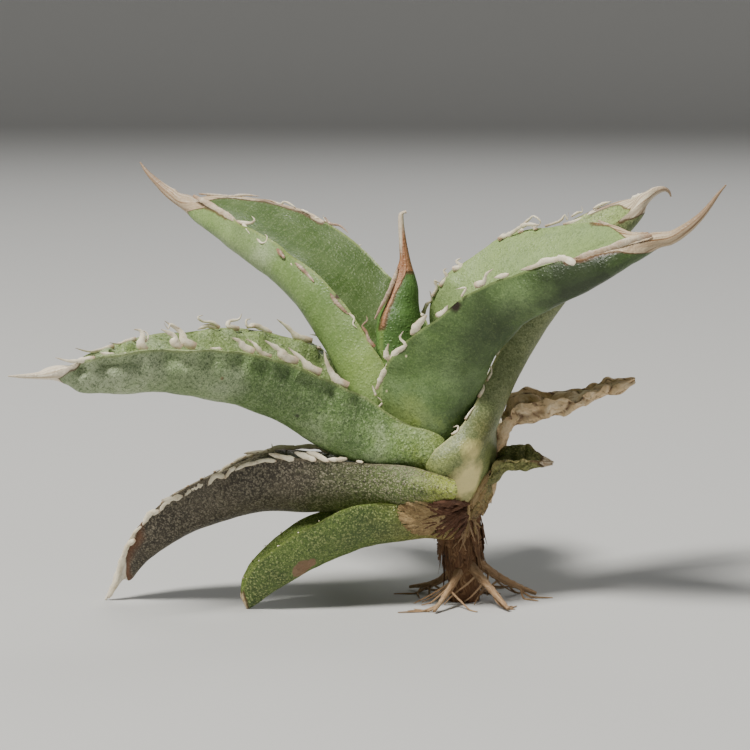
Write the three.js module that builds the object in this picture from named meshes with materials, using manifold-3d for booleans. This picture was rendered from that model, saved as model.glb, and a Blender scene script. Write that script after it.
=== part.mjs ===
// A young bare-rooted agave offset, about 120 mm across, standing on a flat surface on its stem
// stub, its roots and the tips of its two lowest leaves. Units are millimetres, +Z is up.
// Every leaf is one solid that ends in its own horny spine. Older leaves clasp younger ones.
import * as THREE from "three";
import { mergeVertices } from "three/addons/utils/BufferGeometryUtils.js";
import Module from "manifold-3d";

const wasm = await Module();
wasm.setup();

// Clearance left between neighbours that touch in the living plant.
const GAP = 0.35;
// Stations are written down as an eye 500 mm away sees them: [across, depth, up].
// Depth grows away from the eye. The eye looks down on the surface at this angle.
const EYE_DISTANCE = 500;
const EYE_ELEVATION = THREE.MathUtils.degToRad(6.5);
// Height of the surface below the eye's line of sight, at depth 0.
const SURFACE = -37.6;
// Points round one leaf section, on the outer face and on the inner face.
const OUTER_STEPS = 8;
const INNER_STEPS = 4;
// Rings between two stations.
const LEAF_RINGS = 3;
const ROD_RINGS = 2;
const ROOT_SIDES = 8;
const STEM_SIDES = 14;
const SPINE_TIP = 0.12;

const FINISH = {
  fresh: { color: 0x7f9c5c, roughness: 0.6 },
  glaucous: { color: 0x74906a, roughness: 0.7 },
  bronzed: { color: 0x5d5a50, roughness: 0.75 },
  dry: { color: 0x9a7d5e, roughness: 0.9 },
  bark: { color: 0x6e4d38, roughness: 0.9 },
};

// Widens a station with depth, so that it lands where the eye sees it.
function place([across, depth, up]) {
  const spread = (EYE_DISTANCE + depth) / EYE_DISTANCE;
  return new THREE.Vector3(across * spread, depth, up * spread);
}

// Height of the surface at a depth, written as a station's.
function surfaceAt(depth) {
  const spread = (EYE_DISTANCE + depth) / EYE_DISTANCE;
  return (SURFACE + depth * Math.tan(EYE_ELEVATION)) / spread;
}

function curve(vectors) {
  return new THREE.CatmullRomCurve3(vectors, false, "centripetal");
}

// The three rails of a leaf, through its stations: both margins and the keel of the outer face.
// Station: near margin, far margin, keel, thickness. Spine station: [across, depth, up, radius].
function railsOf({ stations, spine = [] }) {
  const near = stations.map((s) => place(s[0]));
  const far = stations.map((s) => place(s[1]));
  const keel = stations.map((s) => place(s[2]));
  const thick = stations.map((s) => s[3]);
  const side = far.at(-1).clone().sub(near.at(-1)).normalize();
  const middle = near.at(-1).clone().add(far.at(-1)).multiplyScalar(0.5);
  const down = keel.at(-1).clone().sub(middle).normalize();
  let previous = middle;
  for (const [x, y, z, radius] of spine) {
    const centre = place([x, y, z]);
    const along = centre.clone().sub(previous).normalize();
    side.addScaledVector(along, -side.dot(along)).normalize();
    down.addScaledVector(along, -down.dot(along)).addScaledVector(side, -down.dot(side)).normalize();
    near.push(centre.clone().addScaledVector(side, -radius));
    far.push(centre.clone().addScaledVector(side, radius));
    keel.push(centre.clone().addScaledVector(down, radius));
    thick.push(2 * radius);
    previous = centre;
  }
  return { near, far, keel, thick };
}

// One leaf section: half an ellipse from margin to margin by the keel, then the inner face back,
// a parabola that lies one thickness inside the keel. A spine's section comes out round.
function sectionRing(near, far, keel, thick, grow) {
  const middle = near.clone().add(far).multiplyScalar(0.5);
  const toFar = far.clone().sub(near).multiplyScalar(0.5);
  const toKeel = keel.clone().sub(middle);
  const side = toFar.clone().normalize();
  const down = toKeel.clone().addScaledVector(side, -toKeel.dot(side)).normalize();
  const sag = 1 - thick / toKeel.length();
  const points = [];
  for (let i = 0; i <= OUTER_STEPS; i++) {
    const a = (Math.PI * i) / OUTER_STEPS;
    points.push([-Math.cos(a), Math.sin(a)]);
  }
  for (let i = 1; i < INNER_STEPS; i++) {
    const a = Math.PI - (Math.PI * i) / INNER_STEPS;
    const u = -Math.cos(a);
    const v = sag > 0 ? sag * (1 - u * u) : sag * Math.sin(a);
    points.push([u, v]);
  }
  const flat = points.map(([u, v]) => {
    const offset = toFar.clone().multiplyScalar(u).addScaledVector(toKeel, v);
    return [offset.dot(side), offset.dot(down)];
  });
  return flat.map(([x, y], i) => {
    const [x0, y0] = flat.at(i - 1);
    const [x1, y1] = flat[(i + 1) % flat.length];
    const length = Math.hypot(x1 - x0, y1 - y0) || 1;
    const outX = (-grow * (y1 - y0)) / length;
    const outY = (grow * (x1 - x0)) / length;
    return middle.clone().addScaledVector(side, x + outX).addScaledVector(down, y + outY);
  });
}

function centreOf(ring) {
  return ring.reduce((sum, p) => sum.add(p), new THREE.Vector3()).divideScalar(ring.length);
}

// A closed skin over rings of points, facing out, with both end caps pushed out by grow.
function skin(rings, grow) {
  const around = rings[0].length;
  const ends = [[rings[0], rings[1]], [rings.at(-1), rings.at(-2)]];
  const centres = ends.map(([ring, inner]) => {
    const outward = centreOf(ring).sub(centreOf(inner)).setLength(grow || 1e-9);
    ring.forEach((p) => p.add(outward));
    return centreOf(ring);
  });
  const points = [...rings.flat(), ...centres];
  const [first, last] = [points.length - 2, points.length - 1];
  const tip = (rings.length - 1) * around;
  const faces = [];
  for (let i = 0; i < around; i++) {
    const j = (i + 1) % around;
    for (let r = 0; r < tip; r += around) {
      faces.push([r + i, r + j, r + i + around], [r + j, r + j + around, r + i + around]);
    }
    faces.push([first, j, i], [last, tip + i, tip + j]);
  }
  const volume = faces.reduce((sum, [a, b, c]) => sum + points[a].dot(points[b].clone().cross(points[c])), 0);
  if (volume < 0) faces.forEach((face) => face.reverse());
  return new THREE.BufferGeometry().setFromPoints(points).setIndex(faces.flat());
}

function leafGeometry(leaf, grow = 0) {
  const { near, far, keel, thick } = railsOf(leaf);
  const rails = [near, far, keel].map(curve);
  const widths = new THREE.CatmullRomCurve3(thick.map((t, i) => new THREE.Vector3(t, i, 0)));
  const steps = (near.length - 1) * LEAF_RINGS;
  const rings = [];
  for (let i = 0; i <= steps; i++) {
    const t = i / steps;
    const [n, f, k] = rails.map((rail) => rail.getPoint(t));
    rings.push(sectionRing(n, f, k, widths.getPoint(t).x, grow));
  }
  return skin(rings, grow);
}

// A round tapering rod through points [across, depth, up, radius]: the stem and its roots.
function rodGeometry(points, around, grow = 0) {
  const middle = curve(points.map(place));
  const radii = curve(points.map((p) => new THREE.Vector3(p[3], 0, 0)));
  const steps = (points.length - 1) * ROD_RINGS;
  const rings = [];
  for (let i = 0; i <= steps; i++) {
    const t = i / steps;
    const tangent = middle.getTangent(t);
    const side = new THREE.Vector3(0, 1, 0).cross(tangent).normalize();
    const up = tangent.clone().cross(side);
    const centre = middle.getPoint(t);
    const radius = radii.getPoint(t).x + grow;
    rings.push(
      Array.from({ length: around }, (_, k) => {
        const angle = (2 * Math.PI * k) / around;
        const ring = centre.clone().addScaledVector(side, radius * Math.cos(angle));
        return ring.addScaledVector(up, radius * Math.sin(angle));
      }),
    );
  }
  return skin(rings, grow);
}

// A solid for joining and cutting, from a closed geometry.
function solid(geometry) {
  const bare = new THREE.BufferGeometry()
    .setAttribute("position", geometry.getAttribute("position"))
    .setIndex(geometry.index);
  const merged = mergeVertices(bare, 1e-4);
  return new wasm.Manifold(
    new wasm.Mesh({
      numProp: 3,
      vertProperties: new Float32Array(merged.attributes.position.array),
      triVerts: new Uint32Array(merged.index.array),
    }),
  );
}

// The largest body of a solid that a cut has left in pieces.
function largest(made) {
  return made.decompose().sort((p, q) => q.volume() - p.volume())[0];
}

function geometryOf(made) {
  const mesh = made.getMesh();
  return new THREE.BufferGeometry()
    .setAttribute("position", new THREE.BufferAttribute(new Float32Array(mesh.vertProperties), 3))
    .setIndex(new THREE.BufferAttribute(new Uint32Array(mesh.triVerts), 1));
}

// Short woody stem, leaning like the rosette and cut flat at the surface: [across, depth, up, radius].
const STEM = [
  [10.2, 0.4, -9.5, 1.8],
  [12.6, 0.5, -15, 3.6],
  [14.6, 0, -20.5, 4.4],
  [15.4, 0, -25.0, 4.3],
  [15.8, 0.3, -30.0, 3.4],
  [16.0, 0.6, -35.5, 2.9],
  [16.0, 0.6, -40.0, 2.7],
];

// Leaves from the youngest to the oldest, so that each one gives way to those before it.
const LEAVES = [
  {
    name: "centre_bud_leaf",
    finish: "fresh",
    stations: [
      [[6.6, -3.2, -11], [12.6, 3.6, -11], [12.6, -2.4, -11], 6.0],
      [[4.4, -3.4, -5], [9.8, 3.8, -5], [10.4, -2.4, -5], 6.6],
      [[3.2, -3.4, 0], [8.4, 3.8, 0], [9.2, -2.2, 0], 6.8],
      [[2.2, -3.0, 4.5], [7.6, 3.6, 4.5], [9.0, -1.8, 4.5], 7.0],
      [[2.6, -3.0, 9.2], [7.2, 3.2, 9.2], [8.2, -1.8, 9.2], 6.6],
      [[3.4, -2.2, 11.7], [7.0, 2.8, 11.7], [8.0, -1.4, 11.7], 5.8],
      [[4.4, -1.8, 14.4], [7.2, 2.2, 14.4], [8.0, -1.2, 14.4], 4.6],
      [[4.8, -1.2, 16.6], [6.8, 1.6, 16.6], [7.6, -0.8, 16.6], 3.4],
    ],
    spine: [
      [6.2, 0, 18.9, 0.95],
      [5.8, 0, 22.3, 0.52],
      [5.5, 0, 25.6, 0.34],
      [5.5, 0, 27.0, 0.25],
      [6.3, 0, 27.4, SPINE_TIP],
    ],
  },
  {
    name: "upper_left_leaf",
    finish: "fresh",
    stations: [
      [[8.6, -3.4, -13.5], [15.2, 5.4, -12.5], [9.2, 3.6, -15.5], 2.8],
      [[5.6, -4.4, -7.5], [12.6, 6.6, -3.0], [3.6, 1.4, -10.6], 3.6],
      [[3.9, -4.8, -1.0], [10.6, 8, 7.0], [-0.2, -0.4, -4.6], 4.0],
      [[1.0, -4.0, 4.6], [7.2, 10, 12.4], [-3.6, 1.6, 0.2], 4.4],
      [[-3.0, -2.2, 10.5], [3.7, 12, 16.5], [-6.6, 4.2, 5.2], 4.6],
      [[-8.0, 0.2, 16.3], [-1.0, 15, 21.2], [-10.6, 7.2, 11.4], 4.6],
      [[-13.8, 4.2, 21.0], [-6.8, 18.5, 25.4], [-15.4, 11.2, 16.4], 4.4],
      [[-19.7, 9.5, 24.6], [-13.5, 22, 28.4], [-21.0, 15.8, 20.4], 4.2],
      [[-24.3, 15, 27.2], [-19.8, 24.5, 29.6], [-25.9, 20, 23.9], 3.8],
      [[-27.6, 20.5, 28.9], [-26.0, 26, 30.0], [-29.3, 23.3, 26.2], 3.0],
    ],
    spine: [
      [-30.8, 24.5, 28.8, 1.5],
      [-33.0, 25.6, 30.3, 1.0],
      [-35.0, 26.6, 32.0, 0.65],
      [-36.8, 27.4, 33.8, 0.4],
      [-38.0, 28.0, 35.5, SPINE_TIP],
    ],
  },
  {
    name: "right_broad_leaf",
    finish: "glaucous",
    stations: [
      [[6.5, -4.2, -13], [17.0, 4, -9.5], [14.0, -6.4, -15], 3.4],
      [[1.9, -5.6, -4.0], [15.4, 5.5, 0.5], [14.8, -8.0, -5.0], 4.4],
      [[3.0, -6.4, 1.3], [13.4, 5.0, 6.6], [18.4, -8.6, 0.4], 4.8],
      [[6.2, -8.6, 5.6], [12.0, 3.0, 12.2], [21.4, -10.4, 3.6], 5.0],
      [[10.8, -11.4, 9.0], [12.8, 1.0, 15.8], [24.0, -12.2, 6.6], 5.0],
      [[16.7, -15.2, 13.6], [17.0, 0, 19.4], [26.6, -14.2, 9.2], 5.0],
      [[23.7, -19.4, 16.7], [22.9, -1.5, 23.1], [30.2, -16.6, 11.4], 5.0],
      [[31.2, -23, 18.7], [30.7, -5.5, 24.8], [36.0, -19.6, 14.0], 4.8],
      [[38.7, -25.6, 20.5], [38.7, -11, 25.3], [41.6, -22.6, 17.2], 4.4],
      [[43.8, -26.6, 21.8], [44.0, -18.6, 23.8], [46.0, -24.2, 19.6], 3.6],
    ],
    spine: [
      [48.6, -25.2, 22.5, 1.3],
      [50.6, -26.0, 22.9, 1.1],
      [52.9, -26.8, 24.3, 0.9],
      [55.3, -27.6, 26.3, 0.62],
      [57.0, -28.2, 28.3, 0.42],
      [58.4, -28.6, 30.2, 0.28],
      [59.7, -29.0, 31.7, SPINE_TIP],
    ],
  },
  {
    name: "left_broad_leaf",
    finish: "glaucous",
    stations: [
      [[15.0, -7.4, -14.5], [6.5, 5.5, -11.0], [12.0, -4.6, -18.5], 3.6],
      [[12.2, -9.6, -10.4], [0.4, 7.0, -4.0], [7.4, -5.6, -16.0], 4.6],
      [[6.2, -9.8, -7.8], [-2.4, 7.5, 0.6], [0.2, -5.6, -14.6], 5.4],
      [[-0.5, -10.2, -3.7], [-6.4, 7.0, 3.6], [-7.6, -5.8, -12.4], 5.8],
      [[-7.2, -12, -0.3], [-12.2, 5, 6.0], [-13.6, -7.0, -8.4], 6.0],
      [[-14.7, -14.6, 2.5], [-19.5, 2, 7.4], [-20.5, -9.6, -5.4], 6.0],
      [[-23.0, -17.8, 4.2], [-27.5, -2, 7.5], [-28.0, -13.2, -3.8], 5.8],
      [[-31.3, -20.8, 4.3], [-35.0, -7, 6.8], [-35.6, -16.8, -2.9], 5.4],
      [[-39.7, -23.4, 4.0], [-42.0, -13, 5.0], [-43.0, -20.4, -3.1], 5.0],
      [[-45.8, -25.0, 2.9], [-46.5, -19, 3.6], [-48.0, -23.2, -2.9], 4.4],
      [[-49.2, -26.2, 1.6], [-49.4, -22.8, 1.8], [-50.2, -24.6, -1.7], 3.2],
    ],
    spine: [
      [-52.8, -25.6, 0.2, 1.15],
      [-54.8, -26.2, -0.1, 0.6],
      [-57.2, -27.0, -0.2, 0.35],
      [-60.0, -28.0, -0.2, SPINE_TIP],
    ],
  },
  {
    name: "right_back_leaf",
    finish: "fresh",
    stations: [
      [[12.6, -7.6, -19.4], [20.0, 4.4, -17.6], [17.0, -7.2, -21.2], 2.6],
      [[9.4, -9.9, -15.0], [20.4, 6.0, -11.0], [18.0, -8.6, -17.2], 3.4],
      [[14.8, -10.6, -9.6], [20.6, 7.0, -2.6], [20.2, -7.2, -11.4], 3.6],
      [[17.4, -8.6, -5.6], [21.6, 8.0, 3.0], [22.4, -4.0, -6.6], 3.6],
      [[19.9, -6.0, 0.0], [23.2, 9.5, 8.8], [25.0, -0.8, -0.4], 3.6],
      [[22.8, -3.5, 5.7], [25.2, 11.5, 15.2], [28.0, 2.2, 5.2], 3.5],
      [[27.0, -1.0, 12.0], [28.9, 13, 21.6], [32.4, 4.6, 12.0], 3.4],
      [[32.8, 2.0, 18.8], [34.2, 14.5, 25.8], [38.0, 7.6, 18.4], 3.2],
      [[38.7, 5.0, 23.4], [39.8, 14.5, 28.3], [42.8, 9.4, 23.0], 3.0],
      [[43.4, 8.0, 27.0], [43.8, 13.0, 29.4], [46.0, 10.6, 26.8], 2.4],
    ],
    spine: [
      [46.3, 11.2, 29.5, 1.0],
      [48.0, 11.8, 30.7, 0.7],
      [49.4, 12.2, 31.0, 0.45],
      [50.2, 12.4, 30.5, 0.27],
      [50.5, 12.5, 29.7, SPINE_TIP],
    ],
  },
  {
    name: "back_leaf_right",
    finish: "fresh",
    stations: [
      [[18.6, 4.0, -17.5], [10.0, 5.0, -16.5], [14.6, 5.4, -20.0], 2.6],
      [[21.4, 9.0, -11.5], [8.2, 10.0, -10.0], [15.0, 11.5, -15.5], 3.4],
      [[21.4, 18, -6.0], [7.6, 18.5, -5.0], [14.8, 19.5, -10.8], 4.0],
      [[20.6, 25.5, -1.2], [8.0, 26, -0.6], [14.4, 26.6, -6.2], 4.0],
      [[18.8, 32.5, 1.4], [9.2, 32.8, 1.8], [14.0, 33.4, -2.6], 3.6],
      [[15.6, 38, 3.0], [11.8, 38, 3.2], [13.6, 38.4, 0.4], 2.6],
    ],
    spine: [
      [13.5, 41.6, 3.4, 0.95],
      [13.3, 45.2, 4.8, 0.5],
      [13.2, 48, 6.4, SPINE_TIP],
    ],
  },
  {
    name: "back_leaf_left",
    finish: "glaucous",
    stations: [
      [[8.6, 1.5, -17.5], [16.0, 6.0, -19.0], [11.4, 3.8, -21.4], 2.6],
      [[1.6, 8.0, -13.0], [12.6, 13.5, -13.2], [7.0, 10.4, -18.2], 3.6],
      [[-2.4, 16.5, -9.4], [10.2, 22, -9.4], [3.6, 18.8, -15.0], 4.4],
      [[-5.0, 25, -7.8], [7.0, 30, -7.8], [0.8, 27.4, -13.2], 4.4],
      [[-6.0, 33, -7.6], [2.6, 36.5, -7.6], [-1.8, 34.8, -11.8], 3.8],
      [[-5.6, 39.4, -8.0], [-2.0, 40.8, -8.0], [-4.0, 40, -10.6], 2.6],
    ],
    spine: [
      [-4.9, 43.6, -8.6, 0.95],
      [-5.6, 47.4, -8.4, 0.5],
      [-6.3, 50.6, -7.8, SPINE_TIP],
    ],
  },
  {
    name: "grey_drooping_leaf",
    finish: "bronzed",
    stations: [
      [[15.4, -8.0, -18.6], [9.0, 4.4, -19.0], [12.6, -4.4, -23.2], 3.0],
      [[8.0, -9.8, -15.6], [4.6, 6.0, -17.2], [6.2, -4.6, -22.0], 4.6],
      [[0.3, -9.8, -14.7], [-2.2, 6.4, -13.6], [-1.6, -4.0, -22.6], 5.6],
      [[-7.2, -9.2, -14.1], [-9.7, 6.4, -12.6], [-9.4, -3.0, -22.8], 6.0],
      [[-15.5, -8.6, -14.0], [-17.7, 6.4, -12.7], [-17.0, -2.0, -22.7], 6.0],
      [[-22.2, -8.0, -15.3], [-23.3, 6.0, -15.0], [-23.0, -1.5, -24.0], 5.8],
      [[-28.0, -7.0, -17.8], [-29.0, 5.6, -17.9], [-28.6, -1.0, -26.0], 5.4],
      [[-33.8, -5.8, -21.0], [-34.6, 4.6, -21.4], [-33.2, -0.6, -28.4], 4.8],
      [[-38.0, -4.4, -25.0], [-38.2, 3.4, -25.3], [-36.6, -0.4, -30.8], 4.2],
      [[-40.3, -2.8, -28.4], [-40.4, 2.2, -28.7], [-38.5, -0.2, -32.8], 3.6],
      [[-41.4, -1.2, -31.4], [-41.6, 1.2, -31.3], [-39.8, 0, -34.2], 2.6],
    ],
    spine: [
      [-41.6, 0.2, -34.0, 0.9],
      [-42.7, 0.4, -35.8, 0.5],
      [-43.8, 0.5, -37.45, 0.2],
    ],
  },
  {
    name: "lowest_green_leaf",
    finish: "fresh",
    stations: [
      [[15.2, -6.6, -23.2], [10.0, 1.8, -23.2], [13.6, -4.0, -27.4], 3.0],
      [[8.7, -9.2, -22.0], [6.2, 0.6, -22.4], [8.4, -5.4, -27.4], 4.4],
      [[2.0, -10.8, -21.3], [0.6, -1.0, -21.6], [1.8, -6.2, -28.2], 5.6],
      [[-3.8, -11.6, -22.4], [-5.0, -2.0, -22.0], [-4.6, -6.8, -30.2], 6.0],
      [[-9.7, -12.0, -25.2], [-11.2, -3.0, -24.2], [-10.0, -7.4, -32.6], 6.0],
      [[-14.7, -11.6, -28.3], [-16.0, -3.4, -27.4], [-14.0, -7.2, -35.0], 5.4],
      [[-18.3, -10.8, -31.1], [-19.3, -4.4, -30.8], [-16.8, -7.4, -37.0], 4.6],
      [[-20.3, -9.2, -34.0], [-20.8, -5.0, -33.9], [-18.8, -7.1, -38.3], 3.6],
      [[-21.1, -7.9, -37.0], [-21.2, -6.1, -37.0], [-20.2, -7.0, -39.0], 1.8],
    ],
  },
  {
    name: "small_withered_leaf",
    finish: "dry",
    stations: [
      [[17.0, -4.0, -23.6], [18.8, 2.6, -21.0], [19.2, -1.2, -23.2], 1.0],
      [[19.2, -4.4, -18.4], [20.6, 2.4, -15.2], [21.0, -1.6, -18.0], 1.2],
      [[21.6, -4.6, -14.6], [22.9, 1.4, -11.8], [22.9, -2.0, -16.0], 1.6],
      [[24.4, -4.6, -13.9], [25.7, 0.4, -11.3], [25.2, -2.3, -15.8], 1.8],
      [[27.2, -4.0, -14.2], [28.2, -0.6, -12.5], [27.6, -2.5, -15.5], 1.4],
    ],
    spine: [[30.8, -2.0, -14.7, 0.2]],
  },
  {
    name: "dry_brown_leaf",
    finish: "dry",
    stations: [
      [[18.6, 0.6, -21.0], [19.0, 6.2, -20.0], [20.4, 3.4, -21.2], 1.0],
      [[20.0, 0.8, -13.6], [21.6, 7.6, -10.6], [22.2, 4.2, -13.4], 1.2],
      [[21.4, 1.6, -9.2], [23.0, 9.0, -5.2], [23.6, 5.0, -9.6], 1.4],
      [[24.0, 2.0, -5.8], [25.0, 9.0, -2.7], [25.8, 5.0, -7.4], 1.6],
      [[28.7, 2.0, -4.6], [29.2, 8.0, -2.6], [29.6, 4.6, -6.8], 1.8],
      [[34.5, 1.5, -3.8], [35.0, 6.5, -2.1], [35.4, 4.0, -5.4], 1.8],
      [[39.6, 1.0, -2.0], [40.0, 4.6, -0.8], [40.2, 2.8, -3.3], 1.6],
      [[42.2, 1.2, -1.5], [42.4, 3.4, -0.4], [42.4, 2.2, -2.4], 1.2],
    ],
    spine: [[44.4, 2.2, -0.9, 0.35]],
  },
];

// Wiry roots from the flank of the stem down to the surface. The last point lies on the surface.
const ROOTS = [
  { name: "root_front_right", points: [[16.4, -0.6, -31.0, 0.95], [19.8, -5.2, -34.9, 0.8], [23.4, -10, null, 0.65]] },
  { name: "root_right", points: [[16.8, 1.0, -30.0, 1.0], [22.2, 1.8, -33.9, 0.8], [28.0, 3.4, null, 0.65]] },
  { name: "root_back", points: [[16.0, 1.6, -31.5, 0.95], [17.4, 7.6, -33.9, 0.8], [19.0, 13.6, null, 0.6]] },
  { name: "root_back_left", points: [[15.4, 1.4, -31.5, 0.85], [11.4, 5.6, -34.5, 0.7], [7.0, 10.0, null, 0.55]] },
  { name: "root_front", points: [[15.6, -0.6, -32.0, 0.85], [13.6, -6.0, -35.7, 0.7], [11.0, -11.6, null, 0.55]] },
];

const agave = new THREE.Group();
// Turns what the eye sees so that the surface lies level.
const upright = new THREE.Matrix4().makeRotationX(-EYE_ELEVATION);
const surfaceHeight = SURFACE * Math.cos(EYE_ELEVATION);
const SLAB = 400;
const slab = solid(new THREE.BoxGeometry(SLAB, SLAB, 20).translate(0, 0, surfaceHeight - 10));

// Solids stand upright before they are cut and added.
function standing(geometry) {
  return solid(geometry.applyMatrix4(upright));
}

// What later pieces must leave room for: every earlier piece, grown by the clearance.
const taken = [slab];

function add(name, finish, build) {
  let made = build(0);
  for (const other of taken) made = made.subtract(other);
  const material = new THREE.MeshStandardMaterial({ ...FINISH[finish], metalness: 0 });
  const mesh = new THREE.Mesh(geometryOf(largest(made)), material);
  mesh.name = name;
  agave.add(mesh);
  taken.push(build(GAP));
}

add("stem", "bark", (grow) => standing(rodGeometry(STEM, STEM_SIDES, grow)));
for (const leaf of LEAVES) {
  add(leaf.name, leaf.finish, (grow) => standing(leafGeometry(leaf, grow)));
}
for (const { name, points } of ROOTS) {
  const grounded = points.map(([x, y, z, r]) => [x, y, z ?? surfaceAt(y) + 0.8 * r, r]);
  add(name, "bark", (grow) => standing(rodGeometry(grounded, ROOT_SIDES, grow)));
}

// The origin is under the middle of the bounding box, on the surface.
const bounds = new THREE.Box3().setFromObject(agave);
const middle = bounds.getCenter(new THREE.Vector3());
for (const mesh of agave.children) mesh.geometry.translate(-middle.x, -middle.y, -surfaceHeight);

export default agave;
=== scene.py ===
# %% [markdown]
# # A young agave, lifted with its roots
#
# The real thing is a rosette of thick, gutter-shaped leaves on a stub of stem. Each leaf ends in a dry
# horn spine, and hooked horn teeth stand on its margins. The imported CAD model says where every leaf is,
# so each cell below makes the look of one part of the plant around it: skin, horn, dry tissue, roots.

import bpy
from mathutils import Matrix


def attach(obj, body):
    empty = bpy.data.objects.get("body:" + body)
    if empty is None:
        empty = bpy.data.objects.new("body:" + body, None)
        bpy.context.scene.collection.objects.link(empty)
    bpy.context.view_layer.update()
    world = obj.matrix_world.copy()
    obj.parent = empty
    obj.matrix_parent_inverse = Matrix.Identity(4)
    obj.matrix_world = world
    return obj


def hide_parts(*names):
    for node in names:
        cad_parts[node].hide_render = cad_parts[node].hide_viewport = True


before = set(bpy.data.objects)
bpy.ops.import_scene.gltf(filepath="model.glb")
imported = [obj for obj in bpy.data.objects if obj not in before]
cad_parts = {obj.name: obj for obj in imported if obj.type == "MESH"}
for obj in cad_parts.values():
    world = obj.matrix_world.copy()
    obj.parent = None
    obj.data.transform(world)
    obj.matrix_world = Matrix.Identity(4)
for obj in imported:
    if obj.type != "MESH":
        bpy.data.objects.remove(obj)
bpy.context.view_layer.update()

# %% Tools and units
import math
import random

import bmesh
import bpy
import numpy as np
from mathutils import Vector, noise

MM = 0.001
EYE_DISTANCE = 500.0
EYE_TILT = math.radians(6.5)
# Where the middle of the view lies in the model's frame, in mm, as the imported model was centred
FRAME_SHIFT = np.array([0.17724609375, -10.69006633758545, 37.35830177343969])
EYE_AHEAD = np.array([0.0, math.cos(EYE_TILT), -math.sin(EYE_TILT)])


def unit(vectors):
    """The same directions with length one."""
    return vectors / np.maximum(np.linalg.norm(vectors, axis=-1, keepdims=True), 1e-9)


print("the eye looks down by", round(math.degrees(EYE_TILT), 1), "degrees")


# %% [markdown]
# The leaves are known by how they look to an eye half a metre in front of the plant and a little above
# it. A point is written as millimetres across, in depth and up, as that eye sees it. `place` spreads a
# point with its distance from the eye, tips it by the eye's angle and moves it into the model's frame.

# %% From the eye's millimetres to the frame
def place(points):
    """(across, depth, up) as the eye sees them, in mm, to the frame's mm."""
    p = np.array(points, float).reshape(-1, 3)
    spread = (EYE_DISTANCE + p[:, 1]) / EYE_DISTANCE
    across, depth, up = p[:, 0] * spread, p[:, 1], p[:, 2] * spread
    cos, sin = math.cos(EYE_TILT), math.sin(EYE_TILT)
    return np.stack([across, depth * cos + up * sin, up * cos - depth * sin], axis=1) + FRAME_SHIFT


def seen(points):
    """The reverse of place: the frame's mm to (across, depth, up)."""
    p = np.array(points, float).reshape(-1, 3) - FRAME_SHIFT
    cos, sin = math.cos(EYE_TILT), math.sin(EYE_TILT)
    depth, up = p[:, 1] * cos - p[:, 2] * sin, p[:, 1] * sin + p[:, 2] * cos
    spread = (EYE_DISTANCE + depth) / EYE_DISTANCE
    return np.stack([p[:, 0] / spread, depth, up / spread], axis=1)


def spline(points, at):
    """A smooth curve through points; at runs from 0 at the first to 1 at the last."""
    p = np.array(points, float)
    last = len(p) - 1
    p = np.vstack([2 * p[0] - p[1], p, 2 * p[-1] - p[-2]])
    t = np.clip(np.array(at, float), 0, 1) * last
    i = np.minimum(t.astype(int), last - 1)
    w = (t - i)[:, None]
    a, b, c, d = p[i], p[i + 1], p[i + 2], p[i + 3]
    ab, bc, cd = (
        np.maximum(np.sum((m - n) ** 2, axis=1, keepdims=True) ** 0.25, 1e-4)
        for m, n in ((a, b), (b, c), (c, d))
    )
    leave = ((b - a) / ab - (c - a) / (ab + bc) + (c - b) / bc) * bc
    enter = ((c - b) / bc - (d - b) / (bc + cd) + (d - c) / cd) * bc
    return b + leave * w + (3 * (c - b) - 2 * leave - enter) * w**2 + (2 * (b - c) + leave + enter) * w**3


print("the eye is at", place([0, -EYE_DISTANCE, 0])[0].round(2), "mm")

# %% [markdown]
# ## Camera, floor and light
#
# The camera stands at that eye: half a metre away with a long lens, so that 125 mm of the plant fill the
# picture. The floor is a pale disc whose rim curves up all round, as photographers' paper does, so no
# horizon shows from any side. It is made as by hand: a filled circle, whose rim is extruded up and
# outwards, ring by ring. A warm lamp high on the left gives the leaves their light and shade, and weak
# ones in front and behind keep the shadows open.

# %% Camera
PICTURE_WIDTH = 125.0
SENSOR = 36.0
AXIS_OFF_CENTRE = 7 / 750
camera = bpy.data.objects.new("camera", bpy.data.cameras.new("camera"))
bpy.context.scene.collection.objects.link(camera)
camera.location = place([0, -EYE_DISTANCE, 0])[0] * MM
camera.rotation_euler = (math.pi / 2 - EYE_TILT, 0, 0)
camera.data.sensor_width = SENSOR
camera.data.lens = SENSOR * EYE_DISTANCE / PICTURE_WIDTH
camera.data.shift_x = AXIS_OFF_CENTRE
camera.data.clip_start = 0.01
bpy.context.scene.camera = camera
print("lens:", camera.data.lens, "mm")

# %% Floor
FLOOR_RADIUS = 2.6
RIM = [(0.16, 0.02), (0.14, 0.06), (0.12, 0.11), (0.09, 0.16), (0.05, 0.22), (0.02, 0.30)]
bpy.ops.object.select_all(action="DESELECT")
bpy.ops.mesh.primitive_circle_add(vertices=96, radius=FLOOR_RADIUS, fill_type="NGON")
floor = bpy.context.active_object
floor.name = "floor"
bpy.ops.object.mode_set(mode="EDIT")
bpy.context.tool_settings.mesh_select_mode = (False, True, False)
bpy.ops.mesh.select_all(action="DESELECT")
bpy.ops.mesh.select_non_manifold(extend=False)
radius = FLOOR_RADIUS
for outwards, upwards in RIM:
    bpy.ops.mesh.extrude_region_move(TRANSFORM_OT_translate={"value": (0, 0, upwards)})
    widen = (radius + outwards) / radius
    bpy.ops.transform.resize(value=(widen, widen, 1), center_override=(0, 0, 0))
    radius += outwards
bpy.ops.mesh.delete(type="ONLY_FACE")
bpy.ops.object.mode_set(mode="OBJECT")
bpy.ops.object.shade_smooth_by_angle(angle=math.radians(40))
paper = bpy.data.materials.new("floor_paper")
paper.use_nodes = True
paper_shader = paper.node_tree.nodes["Principled BSDF"]
paper_shader.inputs["Base Color"].default_value = (0.52, 0.52, 0.51, 1)
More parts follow.
